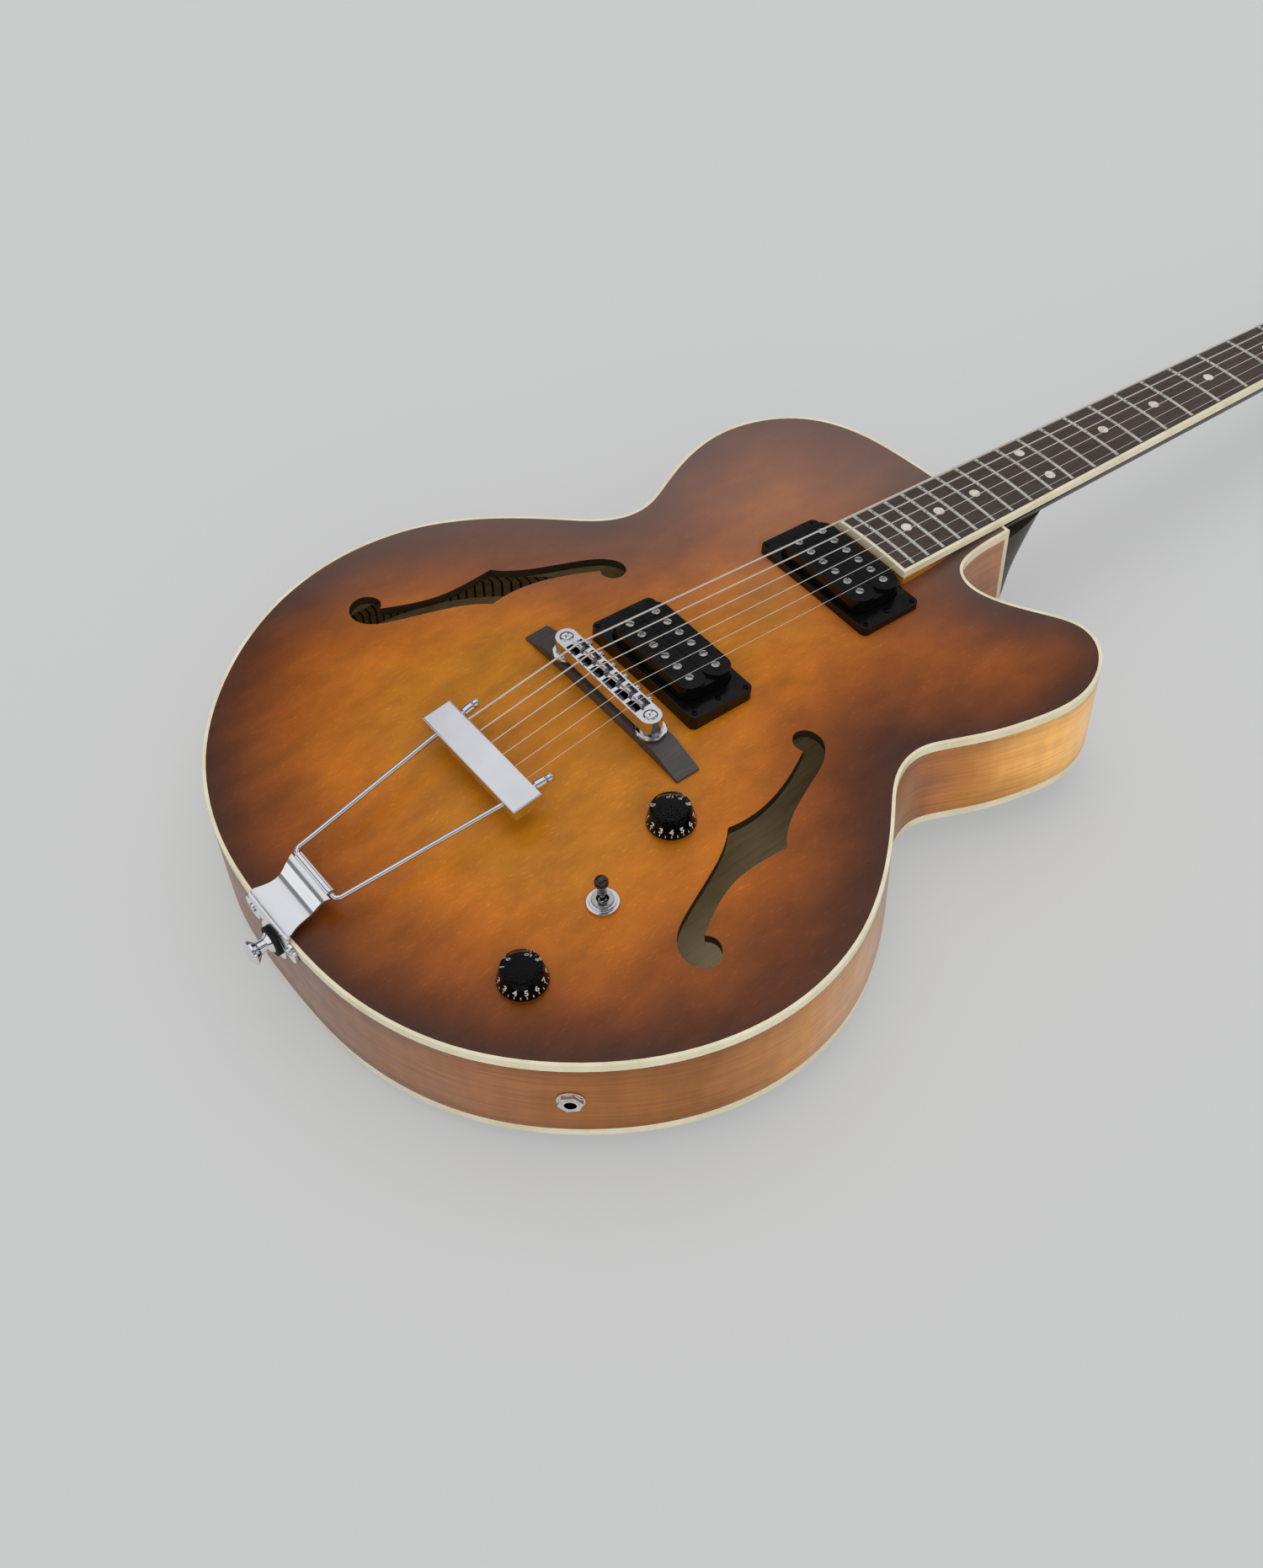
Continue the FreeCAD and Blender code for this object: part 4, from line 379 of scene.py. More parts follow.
def kerf_finish():
    """Bare lining wood, sawn nearly through at short steps so that it bends; the cuts are not modelled but painted as
    dark bands of shade.
    """
    material, tree, shader = new_finish("kerfed_lining_painted_cut_shade", Roughness=0.75)
    steps = calc(tree, "FRACT", calc(tree, "DIVIDE", place_on(tree)["Y"], KERF_STEP * MM))
    wood = ramp(tree, mottle(tree, 2.5, (1, 6, 1)), [(0.32, "#8d7348"), (0.68, "#ab9062")])
    # The dark bands are painted shade standing in for the gaps of the saw cuts
    coat(tree, shader, mixed(tree, calc(tree, "LESS_THAN", steps, KERF_PAINTED_SHADE_SHARE), wood, linear("#1c150d")))
    return material


def neck_finish():
    """Mahogany in near-black stain, sprayed amber where its tongue lies over the soundboard."""
    material, tree, shader = new_finish("stained_mahogany", Specular_IOR_Level=0.35)
    streak = mottle(tree, 1.2, (1, 22, 1), 4.0)
    dark = ramp(tree, streak, [(0.32, "#2b2622"), (0.68, "#453d37")])
    pale = ramp(tree, streak, [(0.32, "#a5631f"), (0.68, "#c07d2e")])
    share = mapped(tree, place_on(tree)["Y"], body_y(TONGUE_END), body_y(NECK_START), 1.0, 0.0, "SMOOTHSTEP")
    coat(tree, shader, mixed(tree, share, dark, pale), spread(tree, mottle(tree, 3, (1, 8, 1)), 0.3, 0.42))
    relief(tree, shader, streak, 0.04, 0.35)
    return material


def clear_finish():
    """Clear acrylic, moulded over the black core of a knob, with faint hairline wear."""
    material, tree, shader = new_finish("clear_acrylic", Transmission_Weight=1.0, IOR=1.49,
                                        Specular_Tint=(0.22, 0.22, 0.22, 1.0))
    tone = ramp(tree, mottle(tree, 6), [(0.3, "#f2f4f4"), (0.7, "#ffffff")])
    coat(tree, shader, tone, spread(tree, mottle(tree, 2, (1, 12, 1)), 0.0, 0.012))
    return material


def moulded_finish(name, dark, light, rough, size, depth, **inputs):
    """Moulded, pressed or plated material: a slight change of tone and a fine uneven skin."""
    material, tree, shader = new_finish(name, **inputs)
    colour = ramp(tree, mottle(tree, size * 6), [(0.3, dark), (0.7, light)])
    coat(tree, shader, colour, spread(tree, mottle(tree, size * 3), rough * 0.75, rough * 1.25))
    relief(tree, shader, mottle(tree, size), depth, 0.4)
    return material


def pearl_finish():
    """Pearl celluloid: pale swirls with a silky gloss."""
    material, tree, shader = new_finish("pearl_celluloid", Roughness=0.22, Coat_Weight=0.4)
    swirl = mottle(tree, 3, (1, 2, 1), 5.0, 30)
    coat(tree, shader, ramp(tree, swirl, [(0.3, "#a9a493"), (0.5, "#d9d4c4"), (0.7, "#f1eee4")]))
    relief(tree, shader, swirl, 0.02, 0.3)
    return material


def wound_finish():
    """Nickel wire wound round a steel core: fine rings across the string, drawn coarser than real so they show, each
    darker in its groove as painted shade between the turns.
    """
    material, tree, shader = new_finish("wound_wire", Metallic=0.6, Roughness=0.36)
    wave = calc(tree, "SINE", calc(tree, "MULTIPLY", attribute(tree, "run"), 2 * math.pi / WINDING_PITCH))
    share = mapped(tree, wave, -1.0, 1.0)
    # The darker troughs are painted shade in the grooves between the turns
    coat(tree, shader, ramp(tree, share, [(0.0, "#c4bcae"), (0.6, "#f0eade")]))
    relief(tree, shader, share, 0.06, 0.6)
    return material


def make_finishes():
    """Every material of the guitar, by the part it covers."""
    # Spruce top and maple back and sides: tobacco stain over amber, satin lacquer; the top also has a painted sheen,
    # and the sides have painted shade and a painted highlight
    amber = (*settings().amber, 1.0)
    reach = settings().burst_width
    finishes["top"] = burst_finish("tobacco_burst_spruce_painted_sheen", reach, [
        (0.0, "#46291b"), (0.10, "#592d14"), (0.28, "#793e11"), (0.5, "#98510e"), (0.75, "#b6680f"), (1.0, amber)],
        TOP_PAINTED_SHEEN)
    finishes["back"] = burst_finish("tobacco_burst_maple", reach, [
        (0.0, "#33201a"), (0.12, "#47291b"), (0.35, "#743e1f"), (0.65, "#a05e22"), (1.0, "#b8772e")], 0.0)
    # Stops along the rib: stain, with painted shade at the waist (0.66 to 0.73) and a painted highlight towards the
    # horn (0.855 to 1.0)
    finishes["rib"] = rib_finish([
        (0.0, "#8f6a56"), (0.07, "#a2683f"), (0.17, "#9c5e22"), (0.28, "#985a1f"), (0.39, "#c98848"), (0.5, "#cf9f78"),
        (0.66, "#97764f"), (0.73, "#a26740"), (0.755, "#b8763f"), (0.785, "#c17d3b"), (0.82, "#d39148"),
        (0.855, "#eba856"), (0.9, "#fcbb67"), (1.0, "#feca86")])
    # Bare spruce and maple inside the box, dry and dull
    finishes["inside"] = wood_finish("bare_inner_wood", "#ecd398", "#fbeec6", 2.5, 0.75)
    finishes["lining"] = kerf_finish()
    finishes["hole_edge"] = wood_finish("stained_cut_edge", "#1d150f", "#332318", 1.5, 0.6)
    finishes["neck"] = neck_finish()
    # Rosewood board and ebonised bridge foot, oiled
    finishes["board"] = wood_finish("oiled_rosewood", "#2a211d", "#4a3a31", 0.9, 0.42, 26)
    finishes["base"] = wood_finish("ebonised_maple", "#3a3431", "#47403c", 1.2, 0.42, 12)
    finishes["pearl"] = pearl_finish()
    finishes["clear"] = clear_finish()
    for key, name, dark, light, rough, size, depth, inputs in (
            # Cream celluloid strip, scraped and lacquered
            ("binding", "cream_celluloid", "#d9cda9", "#ebe2c6", 0.32, 4.0, 0.01, {"Coat_Weight": 0.2}),
            # Nut and face of the head
            ("bone", "polished_bone", "#ddd5bd", "#efe9d8", 0.35, 1.5, 0.01, {}),
            ("veneer", "black_lacquer", "#0a0a0a", "#131211", 0.16, 6.0, 0.006, {"Coat_Weight": 0.6}),
            # Moulded plastics, and the core and print of the knobs
            ("plastic", "black_moulded_plastic", "#050505", "#0a0a0b", 0.2, 1.6, 0.0008, {"Specular_IOR_Level": 0.35}),
            ("bobbin", "black_bobbin_plastic", "#060606", "#0b0b0c", 0.16, 1.6, 0.0006, {"Specular_IOR_Level": 0.35}),
            ("core", "black_core_paint", "#040404", "#070707", 0.6, 1.6, 0.001, {"Specular_IOR_Level": 0.0}),
            ("print", "white_print", "#e4e4e1", "#f6f6f3", 0.5, 0.6, 0.002, {}),
            # Drawn nickel silver, chromium plate, plated and blackened steel, string steel
            ("fret", "nickel_silver", "#c9c5ba", "#e2dfd6", 0.16, 2.0, 0.003, METAL),
            ("chrome", "chrome_plate", "#dcdde0", "#efeff1", 0.06, 8.0, 0.002, METAL),
            ("satin", "satin_plate", "#f0f0f2", "#fafafb", 0.13, 8.0, 0.001, METAL),
            ("steel", "plated_steel", "#b4b2ad", "#d3d1cc", 0.22, 2.0, 0.005, METAL),
            ("blackened", "blackened_steel", "#161616", "#262627", 0.3, 1.0, 0.005, METAL),
            ("wire", "plain_steel_wire", "#e6dfd2", "#f3eee4", 0.36, 2.0, 0.003, {"Metallic": 0.6}),
            # Pressed wool felt
            ("felt", "black_wool_felt", "#0d0d0d", "#232221", 0.95, 0.7, 0.12, {})):
        finishes[key] = moulded_finish(name, dark, light, rough, size, depth, **inputs)
    finishes["wound"] = wound_finish()


# Mesh helpers, with angles in degrees
MERGED_WITHIN = 0.01
FLAT_BELOW, SMOOTH_BELOW, ROUNDED_ABOVE = 0.3, 32.0, 38


def between(start, end, steps):
    """Points at even steps from one end of a straight run to the other."""
    return [start.lerp(end, step / steps) for step in range(steps + 1)]


def copied(node):
    """A CAD node's mesh with its doubles merged."""
    bm = bmesh.new()
    bm.from_mesh(frame["nodes"][node].data)
    bmesh.ops.remove_doubles(bm, verts=bm.verts, dist=MERGED_WITHIN * MM)
    return bm


def linked(name, data):
    """A new object in the open scene."""
    holder = bpy.data.objects.new(name, data)
    bpy.context.scene.collection.objects.link(holder)
    return holder


def evaluated(holder):
    """A plain mesh of an object, as its curve or its modifiers make it."""
    bpy.context.view_layer.update()
    return bpy.data.meshes.new_from_object(holder.evaluated_get(bpy.context.evaluated_depsgraph_get()))


def to_piece(name, bm, materials, angle=SMOOTH_BELOW):
    """An object at the origin from a mesh, shaded smooth but for its edges."""
    mesh = bpy.data.meshes.new(name)
    bm.to_mesh(mesh)
    bm.free()
    if "custom_normal" in mesh.attributes:
        mesh.attributes.remove(mesh.attributes["custom_normal"])
    for material in materials:
        mesh.materials.append(finishes[material])
    mesh.shade_smooth()
    mesh.set_sharp_from_angle(angle=math.radians(angle))
    return linked(name, mesh)


def settle(piece, body, slot, *nodes):
    """Puts a piece on its body and hides the CAD nodes that it stands in for; its slot is not used."""
    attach(piece, body)
    if nodes:
        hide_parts(*nodes)
    return piece


def rounded(piece, width):
    """Rounds the edges a little, as handling and polish do."""
    bevel = piece.modifiers.new("edge_rounding", "BEVEL")
    bevel.width = width * MM
    bevel.segments = 2
    bevel.limit_method = "ANGLE"
    bevel.angle_limit = math.radians(ROUNDED_ABOVE)
    bevel.harden_normals = True


def dress(node, finish, slot, width=None):
    """A CAD node in its own material, its flat faces joined and its edges rounded unless their width is 0."""
    bm = copied(node)
    if width != 0:
        bmesh.ops.dissolve_limit(bm, angle_limit=math.radians(FLAT_BELOW), verts=bm.verts, edges=bm.edges,
                                 delimit={"NORMAL"})
    piece = to_piece(f"{node}_piece", bm, [finish])
    if width != 0:
        rounded(piece, settings().bevel if width is None else width)
    return settle(piece, body_of(frame["nodes"][node])[0], slot, node)


def chromed(node, width):
    """A CAD node in chromium plate."""
    return dress(node, "chrome", "chrome", width)


def skinned(bm, rings, sides):
    """Faces between each ring of points and the next, where a ring may be a single point."""
    for low, high in zip(rings, rings[1:]):
        for k in range(sides):
            after = (k + 1) % sides
            corners = [low[k % len(low)], low[after % len(low)], high[after % len(high)], high[k % len(high)]]
            corners = list(dict.fromkeys(corners))
            if len(corners) > 2:
                bm.faces.new(corners)


def lathe(profile, sides=48):
    """A solid turned about Z from its radius and height in millimetres, closed where the radius is 0."""
    bm = bmesh.new()
    rings = []
    for radius, height in profile:
        if radius == 0:
            rings.append([bm.verts.new((0, 0, height * MM))])
        else:
            rings.append([bm.verts.new((radius * MM * math.cos(2 * math.pi * k / sides),
                                        radius * MM * math.sin(2 * math.pi * k / sides), height * MM))
                          for k in range(sides)])
    skinned(bm, rings, sides)
    bmesh.ops.recalc_face_normals(bm, faces=bm.faces)
    return bm


def tube(points, radius, sides=10):
    """A round wire through points, with the distance run along it in millimetres on each point."""
    bm = bmesh.new()
    run_layer = bm.verts.layers.float.new("run")
    run, side, rings = 0.0, None, []
    for index, point in enumerate(points):
        before, after = points[max(index - 1, 0)], points[min(index + 1, len(points) - 1)]
        ahead = (after - before).normalized()
        side = ahead.orthogonal().normalized() if side is None else (side - ahead * side.dot(ahead)).normalized()
        other = ahead.cross(side)
        if index:
            run += (point - points[index - 1]).length / MM
        ring = []
        for k in range(sides):
            angle = 2 * math.pi * k / sides
            vert = bm.verts.new(point + (side * math.cos(angle) + other * math.sin(angle)) * radius * MM)
            vert[run_layer] = run
            ring.append(vert)
        rings.append(ring)
    skinned(bm, rings, sides)
    bm.faces.new(reversed(rings[0]))
    bm.faces.new(rings[-1])
    return bm


def slotted_head(radius, height, slot_width, slot_depth, dome=0.35, sides=24):
    """A round screw head, slightly domed, with a straight slot along its local Y."""
    bm = lathe([(0, 0), (radius, 0), (radius, height * (1 - dome)), (radius * 0.86, height * (1 - dome * 0.35)),
                (radius * 0.5, height * 0.97), (0, height)], sides)
    for side in (-1, 1):
        bmesh.ops.bisect_plane(bm, geom=bm.verts[:] + bm.edges[:] + bm.faces[:], dist=1e-7,
                               plane_co=(side * slot_width / 2 * MM, 0, 0), plane_no=(1, 0, 0))
    bm.normal_update()
    inside = [face for face in bm.faces if face.normal.z > 0.3 and
              abs(face.calc_center_median().x) < slot_width / 2 * MM]
    grown = bmesh.ops.extrude_face_region(bm, geom=inside)
    moved = [item for item in grown["geom"] if isinstance(item, bmesh.types.BMVert)]
    bmesh.ops.translate(bm, verts=moved, vec=(0, 0, -slot_depth * MM))
    bmesh.ops.delete(bm, geom=inside, context="FACES")
    return bm


# Screw heads: radius, height, width and depth of the slot, in millimetres
SMALL_SCREW, POLE_SCREW, HEIGHT_SCREW = (1.6, 0.7, 0.5, 0.4), (2.5, 0.95, 0.8, 0.6), (1.7, 0.8, 0.5, 0.5)
SADDLE_SCREW, BRACKET_SCREW, STAND_SCREW = (1.9, 2.5, 0.5, 0.6), (2.6, 1.1, 0.7, 0.6), (3.5, 13.4, 1.0, 1.1)


def merged(parts):
    """One mesh from several, each carried by its own matrix."""
    whole = bmesh.new()
    for part, place in parts:
        bmesh.ops.transform(part, matrix=place, verts=part.verts)
        mesh = bpy.data.meshes.new("part")
        part.to_mesh(mesh)
        part.free()
        whole.from_mesh(mesh)
        bpy.data.meshes.remove(mesh)
    return whole


def repeat_tree():
    """Geometry nodes that set one part on every point, turned by the point's own angles."""
    if "repeat_part" in bpy.data.node_groups:
        return bpy.data.node_groups["repeat_part"]
    tree = bpy.data.node_groups.new("repeat_part", "GeometryNodeTree")
    for name, kind in (("Points", "Geometry"), ("Part", "Object"), ("Part size", "Float"), ("Finish", "Material")):
        tree.interface.new_socket(name, in_out="INPUT", socket_type=f"NodeSocket{kind}")
    tree.interface.new_socket("Repeated", in_out="OUTPUT", socket_type="NodeSocketGeometry")
    given = add(tree, "NodeGroupInput")
    part = add(tree, "GeometryNodeObjectInfo", {"Object": given.outputs["Part"]})
    turn = add(tree, "GeometryNodeInputNamedAttribute", {"Name": "turn"}, data_type="FLOAT_VECTOR")
    rotation = add(tree, "FunctionNodeEulerToRotation", {0: turn.outputs["Attribute"]})
    placed = add(tree, "GeometryNodeInstanceOnPoints", {
        "Points": given.outputs["Points"], "Instance": part.outputs["Geometry"],
        "Rotation": rotation.outputs["Rotation"], "Scale": given.outputs["Part size"]})
    real = add(tree, "GeometryNodeRealizeInstances", {"Geometry": placed.outputs["Instances"]})
    painted = add(tree, "GeometryNodeSetMaterial", {"Geometry": real.outputs["Geometry"],
                                                    "Material": given.outputs["Finish"]})
    add(tree, "NodeGroupOutput", {"Repeated": painted.outputs["Geometry"]})
    return tree


def repeat(name, part, places, finish, body, slot):
    """Sets one small part at every place, as one plain mesh on one body."""
    seed = to_piece(f"{name}_part", part, [finish])
    mesh = bpy.data.meshes.new(name)
    mesh.from_pydata([place.translation for place in places], [], [])
    turns = mesh.attributes.new("turn", "FLOAT_VECTOR", "POINT")
    for item, place in zip(turns.data, places):
        item.vector = place.to_euler()
    piece = linked(name, mesh)
    tree = repeat_tree()
    sockets = {item.name: item.identifier for item in tree.interface.items_tree if item.in_out == "INPUT"}
    modifier = piece.modifiers.new("repeat", "NODES")
    modifier.node_group = tree
    modifier[sockets["Part"]] = seed
    modifier[sockets["Part size"]] = 1.0
    modifier[sockets["Finish"]] = finishes[finish]
    result = evaluated(piece)
    piece.modifiers.clear()
    piece.data = result
    bpy.data.objects.remove(seed)
    if not result.polygons:
        raise RuntimeError(f"{name} came out empty")
    return settle(piece, body, slot)


# Body: spacing, reach and tolerances of its meshes, in millimetres
OUTLINE_LOWEST, OUTLINE_LEVEL, OUTLINE_STEP = -7, 0.5, 2
FIELD_STEP, FIELD_MARGIN, FIELD_ABOVE = 4.0, 12, 200
FIELD_FILLS, FIELD_SMOOTHS = 290, 10
PLATE_EDGE, FACET_RISE, RIM_KEPT, RIM_BLEND = 6.0, 0.8, 3.0, 9.0
RIB_LENGTH, RIB_PROBE = 9.0, 3.0
FACE_LEAN, SPLIT_ROUNDS = 0.4, 9


def outline_tree():
    """Points close together along the top edges of the ribs, flattened to the plan."""
    spots = []
    for node in ("bass_rib", "treble_rib"):
        bm = copied(node)
        for edge in bm.edges:
            low, high = (to_body @ vert.co / MM for vert in edge.verts)
            if min(low.z, high.z) > OUTLINE_LOWEST and abs(low.z - high.z) < OUTLINE_LEVEL:
                spots += between(low, high, max(1, math.ceil((high - low).length / OUTLINE_STEP)))
        bm.free()
    tree = KDTree(len(spots))
    for index, place in enumerate(spots):
        tree.insert((place.x, place.y, 0), index)
    tree.balance()
    return tree


def divided(bm, limit):
    """Splits edges until none is longer than a limit in millimetres."""
    for _ in range(SPLIT_ROUNDS):
        long_edges = [edge for edge in bm.edges if edge.calc_length() > limit * MM]
        if not long_edges:
            break
        bmesh.ops.subdivide_edges(bm, edges=long_edges, cuts=1)
        bmesh.ops.triangulate(bm, faces=[face for face in bm.faces if len(face.verts) > 3])


def level_field(node, sign):
    """The height of a plate's outer face over the plan in millimetres, free of the facets of its mesh."""
    bm = copied(node)
    bmesh.ops.transform(bm, matrix=to_body, verts=bm.verts)
    tree = BVHTree.FromBMesh(bm)
    low = Vector([min(vert.co[side] for vert in bm.verts) / MM - FIELD_MARGIN for side in (0, 1)])
    high = Vector([max(vert.co[side] for vert in bm.verts) / MM + FIELD_MARGIN for side in (0, 1)])
    bm.free()
    count = [math.ceil((high[side] - low[side]) / FIELD_STEP) + 1 for side in (0, 1)]
    heights = numpy.full(count, numpy.nan)
    for i in range(count[0]):
        for j in range(count[1]):
            start = Vector((low.x + i * FIELD_STEP, low.y + j * FIELD_STEP, sign * FIELD_ABOVE)) * MM
            hit = tree.ray_cast(start, Vector((0, 0, -sign)))[0]
            if hit:
                heights[i, j] = hit.z / MM
    known = ~numpy.isnan(heights)
    field = numpy.where(known, heights, numpy.nanmean(heights))
    for step in range(FIELD_FILLS + FIELD_SMOOTHS):
        wide = numpy.pad(field, 1, mode="edge")
        mean = (wide[:-2, 1:-1] + wide[2:, 1:-1] + wide[1:-1, :-2] + wide[1:-1, 2:]) / 4
        if step < FIELD_FILLS:
            field = numpy.where(known, heights, mean)
        else:
            field = (field + mean) / 2

    def height(x, y):
        across_steps, along_steps = (x - low.x) / FIELD_STEP, (y - low.y) / FIELD_STEP
        i, j = int(across_steps), int(along_steps)
        u, v = across_steps - i, along_steps - j
        return numpy.array((1 - u, u)) @ field[i:i + 2, j:j + 2] @ numpy.array((1 - v, v))
    return height


def dress_plate(node, sign, finish, slot, outline):
    """An arched plate: smooth outside in burst stain, with a painted sheen on the soundboard, bare inside, dark at the
    cut edges.
    """
    height = level_field(node, sign)
    bm = copied(node)
    divided(bm, PLATE_EDGE)
    rim = bm.verts.layers.float.new("rim")
    for vert in bm.verts:
        place = to_body @ vert.co / MM
        vert[rim] = outline.find((place.x, place.y, 0))[2]
        rise = height(place.x, place.y) - place.z
        if abs(rise) < FACET_RISE:
            vert.co += up * rise * MM * min(1.0, max(0.0, (vert[rim] - RIM_KEPT) / RIM_BLEND))
    bm.normal_update()
    for face in bm.faces:
        lean = face.normal.dot(up) * sign
        face.material_index = 0 if lean > FACE_LEAN else 1 if lean < -FACE_LEAN else 2
    piece = to_piece(f"{node}_piece", bm, [finish, "inside", "hole_edge"], angle=40)
    return settle(piece, "body", slot, node)


def dress_rib(node):
    """A bent rib, stained outside with painted shade and a painted highlight along it, and bare on the faces that look
    at the room under the soundboard.
    """
    plate = copied("soundboard")
    cover = BVHTree.FromBMesh(plate)
    plate.free()
    bm = copied(node)
    divided(bm, RIB_LENGTH)
    rim = bm.verts.layers.float.new("rim")
    levels = [(to_body @ vert.co).z / MM for vert in bm.verts]
    low, high = min(levels), max(levels)
    for vert, level in zip(bm.verts, levels):
        vert[rim] = min(level - low, high - level)
    bm.normal_update()
    for face in bm.faces:
        if cover.ray_cast(face.calc_center_median() + face.normal * RIB_PROBE * MM, up)[0]:
            face.material_index = 1
    return settle(to_piece(f"{node}_piece", bm, ["rib", "inside"]), "body", "rib_wood", node)


class GUITAR_OT_body(bpy.types.Operator):
    """Build the plates, ribs, binding and inner woodwork"""
    bl_idname = "guitar.body"
    bl_label = "Body"

    def execute(self, context):
        outline = outline_tree()
        dress_plate("soundboard", 1, "top", "sunburst_top", outline)
        dress_plate("back_plate", -1, "back", "sunburst_back", outline)
        for node in ("bass_rib", "treble_rib"):
            dress_rib(node)
        dress("body_binding", "binding", "cream_binding", 0.2)
        dress("linings", "lining", "inner_wood", 0)
        for node in ("end_blocks", "tone_bars"):
            dress(node, "inside", "inner_wood", 0.5)
        return {"FINISHED"}


# Neck and head
COVER_LEVEL, COVER_SCREWS = 3.4, ((-7.5, 7.0), (7.5, 7.0), (0, 27.5))


class GUITAR_OT_neck(bpy.types.Operator):
    """Build the neck, fretboard, frets, dots, nut and the face of the head"""
    bl_idname = "guitar.neck"
    bl_label = "Neck"

    def execute(self, context):
        dress("neck", "neck", "neck_wood")
        dress("heel_cap", "binding", "cream_binding")
        dress("truss_rod", "steel", "steel", 0.1)
        dress("fretboard", "board", "dark_wood", 0.15)
        dress("fretboard_binding", "binding", "cream_binding", 0.2)
        dress("frets", "fret", "fret_wire", 0)
        dress("position_dots", "pearl", "pearl_dots", 0)
        dress("nut", "bone", "bone_nut", 0.25)
        dress("head_veneer", "veneer", "black_veneer", 0.2)
        dress("truss_rod_cover", "plastic", "black_plastic", 0.4)
        screws = [shifted(head_frame, x, y, COVER_LEVEL) for x, y in COVER_SCREWS]
        repeat("truss_cover_screws", slotted_head(*SMALL_SCREW), screws, "chrome", "body", "chrome")
        return {"FINISHED"}


class GUITAR_OT_tuners(bpy.types.Operator):
    """Build the tuners: posts, keys, housings and bushings"""
    bl_idname = "guitar.tuners"
    bl_label = "Tuners"

    def execute(self, context):
        for number in range(1, 7):
            chromed(f"tuner_post_{number}", 0.2)
            chromed(f"tuner_key_{number}", 0.8)
        chromed("tuner_housings", 0.8)
        chromed("tuner_bushings", 0.3)
        return {"FINISHED"}


# Strings, numbered from the treble side
GAUGES = {6: 1.17, 5: 0.91, 4: 0.66, 3: 0.43, 2: 0.33, 1: 0.25}
NUT_LINE, NUT_RISE, SADDLE_RISE, BOARD_RADIUS = 631.3, 2.0, 3.64, 305.0
POST_X, POST_RADIUS, POST_LEVEL = 24.5, 3.0, 11.0
POST_Y = {1: 46.0, 2: 86.0, 3: 126.0, 4: 126.0, 5: 86.0, 6: 46.0}
BAR_HOLE_Y, BAR_HOLE_LEVEL = 112.0, 0.9
SPEAKING_STEPS, AFTER_STEPS, WRAP_STEPS, WRAP_GAP = 40, 8, 24, 0.05


def string_x(number, width):
    """How far a string is from the middle, where the outer strings are so wide apart."""
    return width * (0.5 - (number - 1) / 5)


def post_side(number):
    """1 for a post on the treble side of the head, else -1."""
    return 1 if number < 4 else -1


def string_points(number):
    """Where a string leaves the bar, crosses its saddle and the nut, and meets its post."""
    radius = GAUGES[number] / 2
    saddle_x = string_x(number, settings().string_bridge_spread)
    nut_x = string_x(number, settings().string_nut_spread)
    saddle = spot(neck_frame, saddle_x, 0, SADDLE_RISE - saddle_x ** 2 / (2 * BOARD_RADIUS) + radius)
    nut = spot(neck_frame, nut_x, NUT_LINE, NUT_RISE - nut_x ** 2 / (2 * BOARD_RADIUS) + radius)
    post = spot(head_frame, post_side(number) * (POST_X - POST_RADIUS - radius), POST_Y[number], POST_LEVEL)
    bar = spot(trapeze_frame, saddle_x, BAR_HOLE_Y, BAR_HOLE_LEVEL)
    return bar, saddle, nut, post


def post_wrap(number):
    """The turns of a string on its post, going down from where it meets the post."""
    radius = GAUGES[number] / 2
    side = post_side(number)
    reach = POST_RADIUS + radius
    points = []
    for step in range(settings().post_turns * WRAP_STEPS + 1):
        angle = 2 * math.pi * step / WRAP_STEPS
        points.append(spot(head_frame, side * (POST_X - reach * math.cos(angle)),
                           POST_Y[number] + reach * math.sin(angle),
                           POST_LEVEL - (2 * radius + WRAP_GAP) * step / WRAP_STEPS))
    return points


def wire(number, name, points, sides=10):
    """A length of a string through points, as a piece of its own."""
    finish = "wound" if number > 3 else "wire"
    return to_piece(f"string_{number}_{name}", tube(points, GAUGES[number] / 2, sides), [finish])


class GUITAR_OT_strings(bpy.types.Operator):
    """Build the six strings from the bar to their posts"""
    bl_idname = "guitar.strings"
    bl_label = "Strings"

    def execute(self, context):
        for number in GAUGES:
            bar, saddle, nut, post = string_points(number)
            speaking = wire(number, "speaking", between(saddle, nut, SPEAKING_STEPS))
            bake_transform(speaking, "body", "bridge", start=nut, end=saddle)
            middle = bar.lerp(saddle, 0.5)
            after = wire(number, "after", between(middle, saddle, AFTER_STEPS))
            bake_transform(after, "body", "bridge", start=middle, end=saddle)
            anchor = wire(number, "anchor", between(middle, bar, AFTER_STEPS))
            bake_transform(anchor, "body", "trapeze", start=middle, end=bar)
            for piece in (speaking, after, anchor):
                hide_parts("strings")
            settle(wire(number, "lead", between(nut, post, 2)), "body", "string_steel", "strings")
            wrap = wire(number, "wrap", post_wrap(number), 8)
            settle(wrap, f"tuner_post_{number}", "string_steel", "strings")
        return {"FINISHED"}


# Pickups
BOBBIN_Y, POLE_LEVEL, POLE_TURN, RING_LEVEL = 9.0, 8.4, math.degrees(0.9), -0.1
CORNER_X, CORNER_Y, HEIGHT_X = 42.4, 17.8, 40.4


